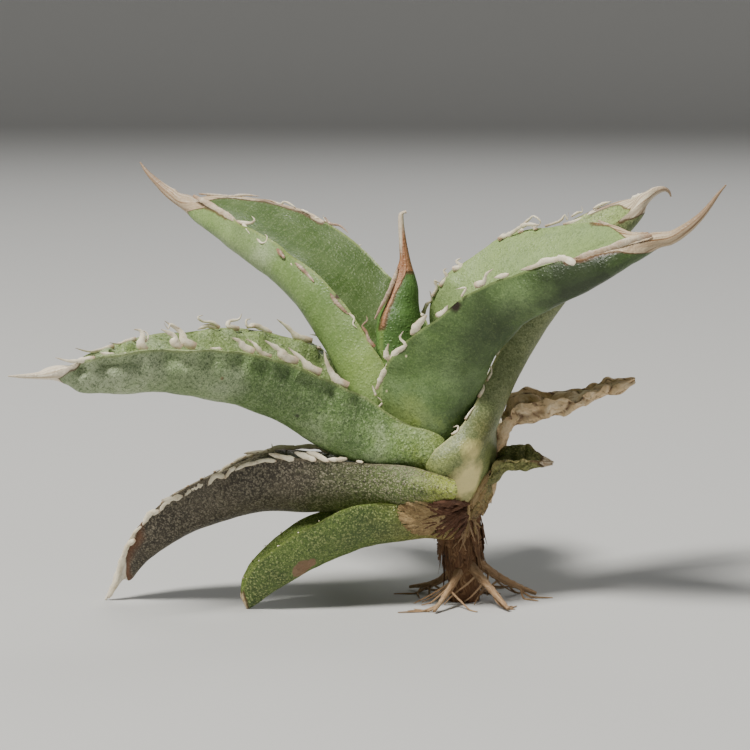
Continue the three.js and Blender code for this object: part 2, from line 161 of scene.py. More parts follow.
paper_shader.inputs["Roughness"].default_value = 0.9
floor.data.materials.append(paper)
print("floor: radius", round(radius, 2), "m with its rim")

# %% Light: name, place in metres, size, watts, colour
LIGHTS = [
    ("key_light", (-0.65, -0.55, 1.42), 0.45, 46.0, (1.0, 0.975, 0.92)),
    ("fill_light", (1.1, -1.2, 0.6), 1.0, 2.2, (0.95, 0.98, 1.0)),
    ("back_light", (0.3, 1.3, 1.2), 0.8, 8.0, (1.0, 1.0, 1.0)),
]
for name, spot, size, power, colour in LIGHTS:
    light = bpy.data.objects.new(name, bpy.data.lights.new(name, "AREA"))
    bpy.context.scene.collection.objects.link(light)
    light.data.size = size
    light.data.energy = power
    light.data.color = colour
    light.location = spot
    light.rotation_euler = (-Vector(spot)).to_track_quat("-Z", "Y").to_euler()
world = bpy.data.worlds.new("studio")
world.use_nodes = True
sky = world.node_tree.nodes["Background"]
sky.inputs["Color"].default_value = (0.80, 0.81, 0.82, 1)
sky.inputs["Strength"].default_value = 0.12
bpy.context.scene.world = world
print("lights:", len(LIGHTS))

# %% [markdown]
# ## The stock that every part is shaped from
#
# Leaves, spines, teeth, roots and fibres are all long closed forms. One round bar of each fineness is
# made as by hand: a cylinder is added, its long edges are picked and subdivided into rings. Each part is
# a copy of a bar, with its own mesh, whose points are then laid along the part's own lines. Lofting by
# hand through so many sections would give the same mesh, but never so evenly.

# %% Round bars
def bar(name, sides, rings):
    """A closed bar of radius 1 from z 0 to z 1, in even rings."""
    bpy.ops.object.select_all(action="DESELECT")
    bpy.ops.mesh.primitive_cylinder_add(
        vertices=sides, radius=1, depth=1, end_fill_type="TRIFAN", location=(0, 0, 0.5)
    )
    made = bpy.context.active_object
    made.name = name
    bpy.ops.object.transform_apply(location=True, rotation=True, scale=True)
    bpy.ops.object.mode_set(mode="EDIT")
    bpy.context.tool_settings.mesh_select_mode = (False, True, False)
    bpy.ops.mesh.select_all(action="DESELECT")
    skin = bmesh.from_edit_mesh(made.data)
    for edge in skin.edges:
        edge.select_set(abs(edge.verts[0].co.z - edge.verts[1].co.z) > 0.5)
    bmesh.update_edit_mesh(made.data)
    bpy.ops.mesh.subdivide(number_cuts=rings - 1)
    bpy.ops.object.mode_set(mode="OBJECT")
    made.hide_render = True
    print(name, len(made.data.vertices), "points")
    return made


LEAF_BAR = bar("leaf_bar", 48, 150)
LONG_BAR = bar("long_bar", 8, 28)
TOOTH_BAR = bar("tooth_bar", 8, 10)
BARS = [LEAF_BAR, LONG_BAR, TOOTH_BAR]


# %% Handling a mesh
SMOOTH_BELOW = math.radians(50)


def points_of(mesh):
    """The mesh's points as an array."""
    flat = np.zeros(len(mesh.vertices) * 3)
    mesh.vertices.foreach_get("co", flat)
    return flat.reshape(-1, 3)


def copy_of(source, name):
    """A copy of a bar with its own mesh."""
    made = source.copy()
    made.data = source.data.copy()
    made.name = made.data.name = name
    made.hide_render = False
    bpy.context.scene.collection.objects.link(made)
    return made


def note(mesh, name, values):
    """Writes one number per point into the mesh, for its material to read."""
    mesh.attributes.new(name, "FLOAT", "POINT").data.foreach_set("value", np.array(values, np.float32))


def lay_points(piece, points):
    """Moves the piece's points to these places, in mm."""
    piece.data.vertices.foreach_set("co", (np.array(points) * MM).astype(np.float32).ravel())
    piece.data.update()


def only(piece):
    """Makes the piece the only selected and active object."""
    bpy.ops.object.select_all(action="DESELECT")
    piece.select_set(True)
    bpy.context.view_layer.objects.active = piece


def face_out(piece):
    """Turns all faces outwards."""
    only(piece)
    bpy.ops.object.mode_set(mode="EDIT")
    bpy.ops.mesh.select_all(action="SELECT")
    bpy.ops.mesh.normals_make_consistent(inside=False)
    bpy.ops.object.mode_set(mode="OBJECT")


def settle(piece, finish, node=None):
    """Gives the piece its finish and smoothing, and ties it to the plant."""
    piece.data.materials.clear()
    piece.data.materials.append(finish)
    only(piece)
    bpy.ops.object.shade_smooth_by_angle(angle=SMOOTH_BELOW)
    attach(piece, "root")
    if node:
        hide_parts(node)
    print(piece.name, len(piece.data.polygons), "faces")


print("points on the leaf bar:", len(points_of(LEAF_BAR.data)))


# %% [markdown]
# ## The leaves' lines
#
# A leaf is three lines in space: its near margin, its far margin and its keel, and how thick it is. Each
# row is one station from the base to the blade's end. A spine's rows are its centre and its radius.

# %% Stations of the leaves: near margin, far margin, keel (mm) and thickness
LEAF_LINES = {
    "centre_bud_leaf": ([
        ((6.6, -3.2, -11), (12.6, 3.6, -11), (12.6, -2.4, -11), 6),
        ((4.4, -3.4, -5), (9.8, 3.8, -5), (10.4, -2.4, -5), 6.6),
        ((3.2, -3.4, 0), (8.4, 3.8, 0), (9.2, -2.2, 0), 6.8),
        ((2.2, -3, 4.5), (7.6, 3.6, 4.5), (9, -1.8, 4.5), 7),
        ((2.6, -3, 9.2), (7.2, 3.2, 9.2), (8.2, -1.8, 9.2), 6.6),
        ((3.4, -2.2, 11.7), (7, 2.8, 11.7), (8, -1.4, 11.7), 5.8),
        ((4.4, -1.8, 14.4), (7.2, 2.2, 14.4), (8, -1.2, 14.4), 4.6),
        ((4.8, -1.2, 16.6), (6.8, 1.6, 16.6), (7.6, -0.8, 16.6), 3.4),
    ], [
        (6.2, 0, 18.9, 1.0), (5.8, 0, 22.3, 0.62), (5.5, 0, 25.6, 0.48),
        (5.6, 0, 26.9, 0.42), (6.4, 0, 27.2, 0.28),
    ]),
    "upper_left_leaf": ([
        ((8.6, -3.4, -13.5), (15.2, 5.4, -12.5), (9.2, 3.6, -15.5), 2.8),
        ((5.6, -4.4, -7.5), (12.6, 6.6, -3), (3.6, 1.4, -10.6), 3.6),
        ((3.9, -4.8, -1), (10.6, 8, 7), (-0.2, -0.4, -4.6), 4),
        ((1, -4, 4.6), (7.2, 10, 12.4), (-3.6, 1.6, 0.2), 4.4),
        ((-3, -2.2, 10.5), (3.7, 12, 16.5), (-6.6, 4.2, 5.2), 4.6),
        ((-8, 0.2, 16.3), (-1, 15, 21.2), (-10.6, 7.2, 11.4), 4.6),
        ((-13.8, 4.2, 21), (-6.8, 18.5, 25.4), (-15.4, 11.2, 16.4), 4.4),
        ((-19.7, 9.5, 24.6), (-13.5, 22, 28.4), (-21, 15.8, 20.4), 4.2),
        ((-24.3, 15, 27.2), (-19.8, 24.5, 29.6), (-25.9, 20, 23.9), 3.8),
        ((-27.6, 20.5, 28.9), (-26, 26, 30), (-29.3, 23.3, 26.2), 3),
    ], [
        (-30.8, 24.5, 28.8, 1.5), (-33, 25.6, 30.3, 1), (-35, 26.6, 32, 0.65),
        (-36.8, 27.4, 33.8, 0.4), (-38, 28, 35.5, 0.12),
    ]),
    "right_broad_leaf": ([
        ((6.5, -4.2, -13), (17, 4, -9.5), (14.8, -6.4, -14), 3.4),
        ((1.9, -5.6, -4), (13.8, 5.5, 0.8), (17, -8, -5.6), 4.4),
        ((3, -6.4, 1.3), (10.7, 5, 6.9), (19.6, -8.6, 0.2), 4.8),
        ((6.2, -8.6, 5.6), (10.4, 3, 12.2), (21.4, -10.4, 3.6), 5),
        ((10.8, -11.4, 9), (12.4, 1, 15.8), (24, -12.2, 6.6), 5),
        ((16.7, -15.2, 13.6), (17, 0, 19.4), (26.6, -14.2, 9.2), 5),
        ((23.7, -19.4, 16.7), (22.9, -1.5, 23.1), (30.2, -16.6, 11.4), 5),
        ((31.2, -23, 18.7), (30.7, -5.5, 24.8), (36, -19.6, 14), 4.8),
        ((38.7, -25.6, 20.5), (38.7, -11, 25.3), (41.6, -22.6, 17.2), 4.4),
        ((43.8, -26.6, 21.8), (44, -18.6, 23.8), (46, -24.2, 19.6), 3.6),
    ], [
        (48.6, -25.2, 22.5, 1.3), (50.6, -26, 22.9, 1.1), (52.9, -26.8, 24.3, 0.9),
        (55.3, -27.6, 26.3, 0.62), (57, -28.2, 28.3, 0.42), (58.4, -28.6, 30.2, 0.28),
        (59.7, -29, 31.7, 0.12),
    ]),
    "left_broad_leaf": ([
        ((15, -7.4, -14.5), (6.5, 5.5, -11), (12, -4.6, -18.5), 3.6),
        ((12.2, -9.6, -10.4), (0.4, 7, -4), (7.4, -5.6, -16), 4.6),
        ((6.2, -9.8, -7.8), (-2.4, 7.5, 0.6), (0.2, -5.6, -14.6), 5.4),
        ((-0.5, -10.2, -3.7), (-6.4, 7, 3.6), (-7.6, -5.8, -12.4), 5.8),
        ((-7.2, -12, -0.3), (-12.2, 5, 6), (-13.6, -7, -8.4), 6),
        ((-14.7, -14.6, 2.5), (-19.5, 2, 7.4), (-20.5, -9.6, -5.4), 6),
        ((-23, -17.8, 4.2), (-27.5, -2, 7.5), (-28, -13.2, -3.8), 5.8),
        ((-31.3, -20.8, 4.3), (-35, -7, 6.8), (-35.6, -16.8, -2.9), 5.4),
        ((-39.7, -23.4, 4), (-42, -13, 5), (-43, -20.4, -3.1), 5),
        ((-45.8, -25, 2.9), (-46.5, -19, 3.6), (-48, -23.2, -2.9), 4.4),
        ((-49.2, -26.2, 1.6), (-49.4, -22.8, 1.8), (-50.2, -24.6, -1.7), 3.2),
    ], [
        (-52.8, -25.6, 0.2, 1.15), (-54.8, -26.2, -0.1, 0.6),
        (-57.2, -27, -0.2, 0.35), (-60, -28, -0.2, 0.12),
    ]),
    "right_back_leaf": ([
        ((14.2, -5.2, -19.8), (19.6, 4.4, -17.6), (17.4, -6.4, -21.2), 2.2),
        ((9.2, -10, -14.8), (20.4, 6, -11), (18.2, -7.4, -17.2), 3),
        ((14.6, -10.6, -9.6), (20.6, 7, -2.6), (20.2, -7.2, -11.4), 3.4),
        ((17.4, -8.6, -5.6), (21.6, 8, 3), (22.4, -4, -6.6), 3.6),
        ((19.9, -6, 0), (23.2, 9.5, 8.8), (25, -0.8, -0.4), 3.6),
        ((22.8, -3.5, 5.7), (25.2, 11.5, 15.2), (28, 2.2, 5.2), 3.5),
        ((27, -1, 12), (28.9, 13, 21.6), (32.4, 4.6, 12), 3.4),
        ((32.8, 2, 18.8), (34.2, 14.5, 25.8), (38, 7.6, 18.4), 3.2),
        ((38.7, 5, 23.4), (39.8, 14.5, 28.3), (42.8, 9.4, 23), 3),
        ((43.4, 8, 27), (43.8, 13, 29.4), (46, 10.6, 26.8), 2.4),
    ], [
        (46.3, 11.2, 29.5, 1), (48, 11.8, 30.7, 0.7), (49.4, 12.2, 31, 0.45),
        (50.2, 12.4, 30.5, 0.27), (50.5, 12.5, 29.7, 0.12),
    ]),
    "back_leaf_right": ([
        ((18.6, 4, -17.5), (10, 5, -16.5), (14.6, 5.4, -20), 2.6),
        ((21.4, 9, -11.5), (8.2, 10, -10), (15, 11.5, -15.5), 3.4),
        ((21.4, 18, -6), (7.6, 18.5, -5), (14.8, 19.5, -10.8), 4),
        ((20.6, 25.5, -1.2), (8, 26, -0.6), (14.4, 26.6, -6.2), 4),
        ((18.8, 32.5, 1.4), (9.2, 32.8, 1.8), (14, 33.4, -2.6), 3.6),
        ((15.6, 38, 3), (11.8, 38, 3.2), (13.6, 38.4, 0.4), 2.6),
    ], [(13.5, 41.6, 3.4, 0.95), (13.3, 45.2, 4.8, 0.5), (13.2, 48, 6.4, 0.12)]),
    "back_leaf_left": ([
        ((8.6, 1.5, -17.5), (16, 6, -19), (11.4, 3.8, -21.4), 2.6),
        ((1.6, 8, -13), (12.6, 13.5, -13.2), (7, 10.4, -18.2), 3.6),
        ((-2.4, 16.5, -9.4), (10.2, 22, -9.4), (3.6, 18.8, -15), 4.4),
        ((-5, 25, -7.8), (7, 30, -7.8), (0.8, 27.4, -13.2), 4.4),
        ((-6, 33, -7.6), (2.6, 36.5, -7.6), (-1.8, 34.8, -11.8), 3.8),
        ((-5.6, 39.4, -8), (-2, 40.8, -8), (-4, 40, -10.6), 2.6),
    ], [(-4.9, 43.6, -8.6, 0.95), (-5.6, 47.4, -8.4, 0.5), (-6.3, 50.6, -7.8, 0.12)]),
    "grey_drooping_leaf": ([
        ((14.4, -12, -17.4), (9, 4.4, -19), (13.4, -10.6, -21.2), 3),
        ((8, -12.2, -15.4), (4.6, 6, -17.2), (7.2, -8.6, -22), 4.6),
        ((0.3, -9.8, -14.7), (-2.2, 6.4, -13.6), (-1.6, -4, -22.6), 5.6),
        ((-7.2, -9.2, -14.1), (-9.7, 6.4, -12.6), (-9.4, -3, -22.8), 6),
        ((-15.5, -8.6, -14), (-17.7, 6.4, -12.7), (-17, -2, -22.7), 6),
        ((-22.2, -8, -15.3), (-23.3, 6, -15), (-23, -1.5, -24), 5.8),
        ((-28, -7, -17.8), (-29, 5.6, -17.9), (-28.6, -1, -26), 5.4),
        ((-33.8, -5.8, -21), (-34.6, 4.6, -21.4), (-33.2, -0.6, -28.4), 4.8),
        ((-38, -4.4, -25), (-38.2, 3.4, -25.3), (-36.6, -0.4, -30.8), 4.2),
        ((-40.3, -2.8, -28.4), (-40.4, 2.2, -28.7), (-38.5, -0.2, -32.8), 3.6),
        ((-41.4, -1.2, -31.4), (-41.6, 1.2, -31.3), (-39.8, 0, -34.2), 2.6),
    ], [(-41.6, 0.2, -34, 0.9), (-42.7, 0.4, -35.8, 0.5), (-43.8, 0.5, -37.45, 0.2)]),
    "lowest_green_leaf": ([
        ((15.2, -6.6, -23.2), (10, 1.8, -23.2), (13.6, -4, -27.4), 3),
        ((8.7, -9.2, -22), (6.2, 0.6, -22.4), (8.4, -5.4, -27.4), 4.4),
        ((2, -10.8, -21.3), (0.6, -1, -21.6), (1.8, -6.2, -28.2), 5.6),
        ((-3.8, -11.6, -22.4), (-5, -2, -22), (-4.6, -6.8, -30.2), 6),
        ((-9.7, -12, -25.2), (-11.2, -3, -24.2), (-10, -7.4, -32.6), 6),
        ((-14.7, -11.6, -28.3), (-16, -3.4, -27.4), (-14, -7.2, -35), 5.4),
        ((-18.3, -10.8, -31.1), (-19.3, -4.4, -30.8), (-16.8, -7.4, -37), 4.6),
        ((-20.3, -9.2, -34), (-20.8, -5, -33.9), (-18.8, -7.1, -38.3), 3.6),
        ((-21.1, -7.9, -37), (-21.2, -6.1, -37), (-20.2, -7, -39), 1.8),
    ], []),
    "small_withered_leaf": ([
        ((17, -4, -23.6), (18.8, 2.6, -21), (19.2, -1.2, -23.2), 1),
        ((19.2, -4.4, -18.4), (20.6, 2.4, -15.2), (21, -1.6, -18), 1.2),
        ((21.6, -4.6, -14.6), (22.9, 1.4, -11.8), (22.9, -2, -16), 1.6),
        ((24.4, -4.6, -13.9), (25.7, 0.4, -11.3), (25.2, -2.3, -15.8), 1.8),
        ((27.2, -4, -14.2), (28.2, -0.6, -12.5), (27.6, -2.5, -15.5), 1.4),
    ], [(30.8, -2, -14.7, 0.2)]),
    "dry_brown_leaf": ([
        ((18.6, 0.6, -21), (19, 6.2, -20), (20.4, 3.4, -21.2), 1),
        ((20, 0.8, -13.6), (21.6, 7.6, -10.6), (22.2, 4.2, -13.4), 1.2),
        ((21.4, 1.6, -9.2), (23, 9, -5.2), (23.6, 5, -9.6), 1.4),
        ((24, 2, -5.8), (25, 9, -2.7), (25.8, 5, -7.4), 1.6),
        ((28.7, 2, -4.6), (29.2, 8, -2.6), (29.6, 4.6, -6.8), 1.8),
        ((34.5, 1.5, -3.8), (35, 6.5, -2.1), (35.4, 4, -5.4), 1.8),
        ((39.6, 1, -2), (40, 4.6, -0.8), (40.2, 2.8, -3.3), 1.6),
        ((42.2, 1.2, -1.5), (42.4, 3.4, -0.4), (42.4, 2.2, -2.4), 1.2),
    ], [(44.4, 2.2, -0.9, 0.35)]),
}
print("leaves:", len(LEAF_LINES))

# %% [markdown]
# ## From three lines to a blade
#
# Every section of a leaf is half an ellipse from margin to margin through the keel, closed by a parabola
# one thickness inside it: the gutter. The bar's points know their angle and their height, so each goes
# to its own place on its own section. Along the way each point notes what the skin's colour will ask
# for: how far it is from the base, from the nearest margin, and from the line where the horn begins.

# %% Lines of one leaf
def rails_of(name):
    """The near, far and keel lines and the thicknesses, blade and spine together."""
    stations, spine = LEAF_LINES[name]
    near, far, keel = ([place(row[i])[0] for row in stations] for i in range(3))
    thick = [row[3] for row in stations]
    previous = (near[-1] + far[-1]) / 2
    side, down = unit(far[-1] - near[-1]), unit(keel[-1] - previous)
    for across, depth, up, radius in spine:
        centre = place([across, depth, up])[0]
        ahead = unit(centre - previous)
        side = unit(side - ahead * (side @ ahead))
        down = down - ahead * (down @ ahead)
        down = unit(down - side * (down @ side))
        near.append(centre - side * radius)
        far.append(centre + side * radius)
        keel.append(centre + down * radius)
        thick.append(2 * radius)
        previous = centre
    return np.array(near), np.array(far), np.array(keel), np.array(thick)


print("stations of the longest leaf:", max(len(rails_of(name)[3]) for name in LEAF_LINES))

# %% Where the horn begins, in mm down from the blade's end: near margin, side, keel, far margin, inside
HORN_REACH = {
    "centre_bud_leaf": (3.5, -0.6, -0.4, 2.5, 0.5),
    "upper_left_leaf": (3.0, -2.8, 0.2, 2.5, -1.0),
    "right_broad_leaf": (4.0, -1.5, -4.8, 6.0, -0.5),
    "left_broad_leaf": (0.8, -2.8, -0.6, 0.8, -1.5),
    "right_back_leaf": (2.0, -0.5, -1.0, 4.0, 0.5),
    "back_leaf_right": (2.0, -1.0, -0.5, 2.0, -0.5),
    "back_leaf_left": (2.0, -1.0, -0.5, 2.0, -0.5),
    "grey_drooping_leaf": (3.0, 0.0, -0.5, 2.0, 0.5),
    "lowest_green_leaf": (0.9, 0.7, 0.5, 0.9, 0.8),
    "small_withered_leaf": (-1.0, -1.6, -1.8, -1.0, -1.5),
    "dry_brown_leaf": (-9, -9, -9, -9, -9),
}
print("leaves with an edge of horn:", len(HORN_REACH))

# %% Strips of horn that run down the margins: length near, length far, width, in mm
HORN_STRIPS = {
    "centre_bud_leaf": (9.0, 1.5, 0.5),
    "upper_left_leaf": (8.5, 22.0, 0.75),
    "right_broad_leaf": (13.0, 8.0, 0.8),
    "left_broad_leaf": (1.5, 1.5, 0.8),
    "right_back_leaf": (2.0, 9.0, 0.6),
    "back_leaf_right": (4.0, 4.0, 0.6),
    "back_leaf_left": (4.0, 4.0, 0.6),
    "grey_drooping_leaf": (6.0, 3.0, 0.8),
}
print("leaves with strips:", len(HORN_STRIPS))


# %% Laying a blade
def horn_of(name, facts, angle):
    """How far past its horn's edge each point is, in mm: below zero on the skin."""
    reach = HORN_REACH[name]
    outside = [reach[0], reach[1], reach[2], reach[1], reach[3]]
    inside = [reach[0], reach[4], reach[3]]
    reach_out = np.interp(angle, np.linspace(0, math.pi, 5), outside)
    reach_inside = np.interp(angle, np.linspace(0, math.pi, 3), inside)
    run = facts["run"][facts["row"]]
    horn = run - (facts["end"] - np.where(facts["inner"], reach_inside, reach_out))
    near_length, far_length, strip_width = HORN_STRIPS.get(name, (0, 0, 0))
    strip_length = np.where(facts["across"] < 0, near_length, far_length)
    strip = np.minimum(strip_width - facts["margin"], run - (facts["end"] - strip_length))
    return np.maximum(horn, strip)


def lay_blade(name):
    """A copy of the leaf bar, laid along the leaf's lines."""
    piece = copy_of(LEAF_BAR, name + "_blade")
    stock = points_of(piece.data)
    heights, row = np.unique(stock[:, 2].round(5), return_inverse=True)
    near, far, keel, thick = (spline(np.atleast_2d(r.T).T, heights) for r in rails_of(name))
    middle, to_far = (near + far) / 2, (far - near) / 2
    to_keel = keel - middle
    sag = 1 - thick / np.linalg.norm(to_keel, axis=1, keepdims=True)
    turn = np.arctan2(stock[:, 1], stock[:, 0]) % (2 * math.pi)
    inner = turn > math.pi + 1e-4
    angle = np.where(inner, 2 * math.pi - turn, turn)
    across, outside = -np.cos(angle), np.sin(angle)
    gutter = np.where(sag[row, 0] > 0, sag[row, 0] * (1 - across**2), sag[row, 0] * outside)
    reach_in = np.where(inner, gutter, outside)
    share = np.minimum(np.hypot(stock[:, 0], stock[:, 1]), 1)
    offset = to_far[row] * across[:, None] + to_keel[row] * reach_in[:, None]
    points = middle[row] + offset * share[:, None]

    run = np.concatenate([[0], np.cumsum(np.linalg.norm(np.diff(middle, axis=0), axis=1))])
    stations, spine = LEAF_LINES[name]
    blade_share = (len(stations) - 1) / (len(stations) + len(spine) - 1)
    margin = np.minimum(
        np.linalg.norm(points - near[row], axis=1), np.linalg.norm(points - far[row], axis=1)
    )
    facts = {
        "piece": piece, "row": row, "run": run, "near": near, "far": far, "middle": middle,
        "margin": margin, "inner": inner, "across": across, "share": share,
        "end": float(np.interp(blade_share, heights, run)),
    }
    lay_points(piece, points)
    note(piece.data, "run", run[row])
    note(piece.data, "around", np.where(inner, 2.5 - across, across))
    on_edge = (share < 0.5) | (np.abs(across) > 0.999)
    note(piece.data, "inner", np.where(on_edge, 0.5, inner))
    note(piece.data, "margin", margin)
    note(piece.data, "horn", horn_of(name, facts, angle))
    face_out(piece)
    return facts


print("rings of a blade:", len(np.unique(points_of(LEAF_BAR.data)[:, 2].round(5))))

# %% [markdown]
# ## Teeth: where they stand
#
# Each tooth is a short line from its foot on the margin to its tip, with its width and its habit: a hook
# that stands up, a flat scale pressed to the margin, a thin curl, or the strip of horn that runs down
# the margin from the spine. The margin swells under each foot, so these lines are needed before the
# blades are finished. Numbers are (across, up) in mm as the eye sees them.

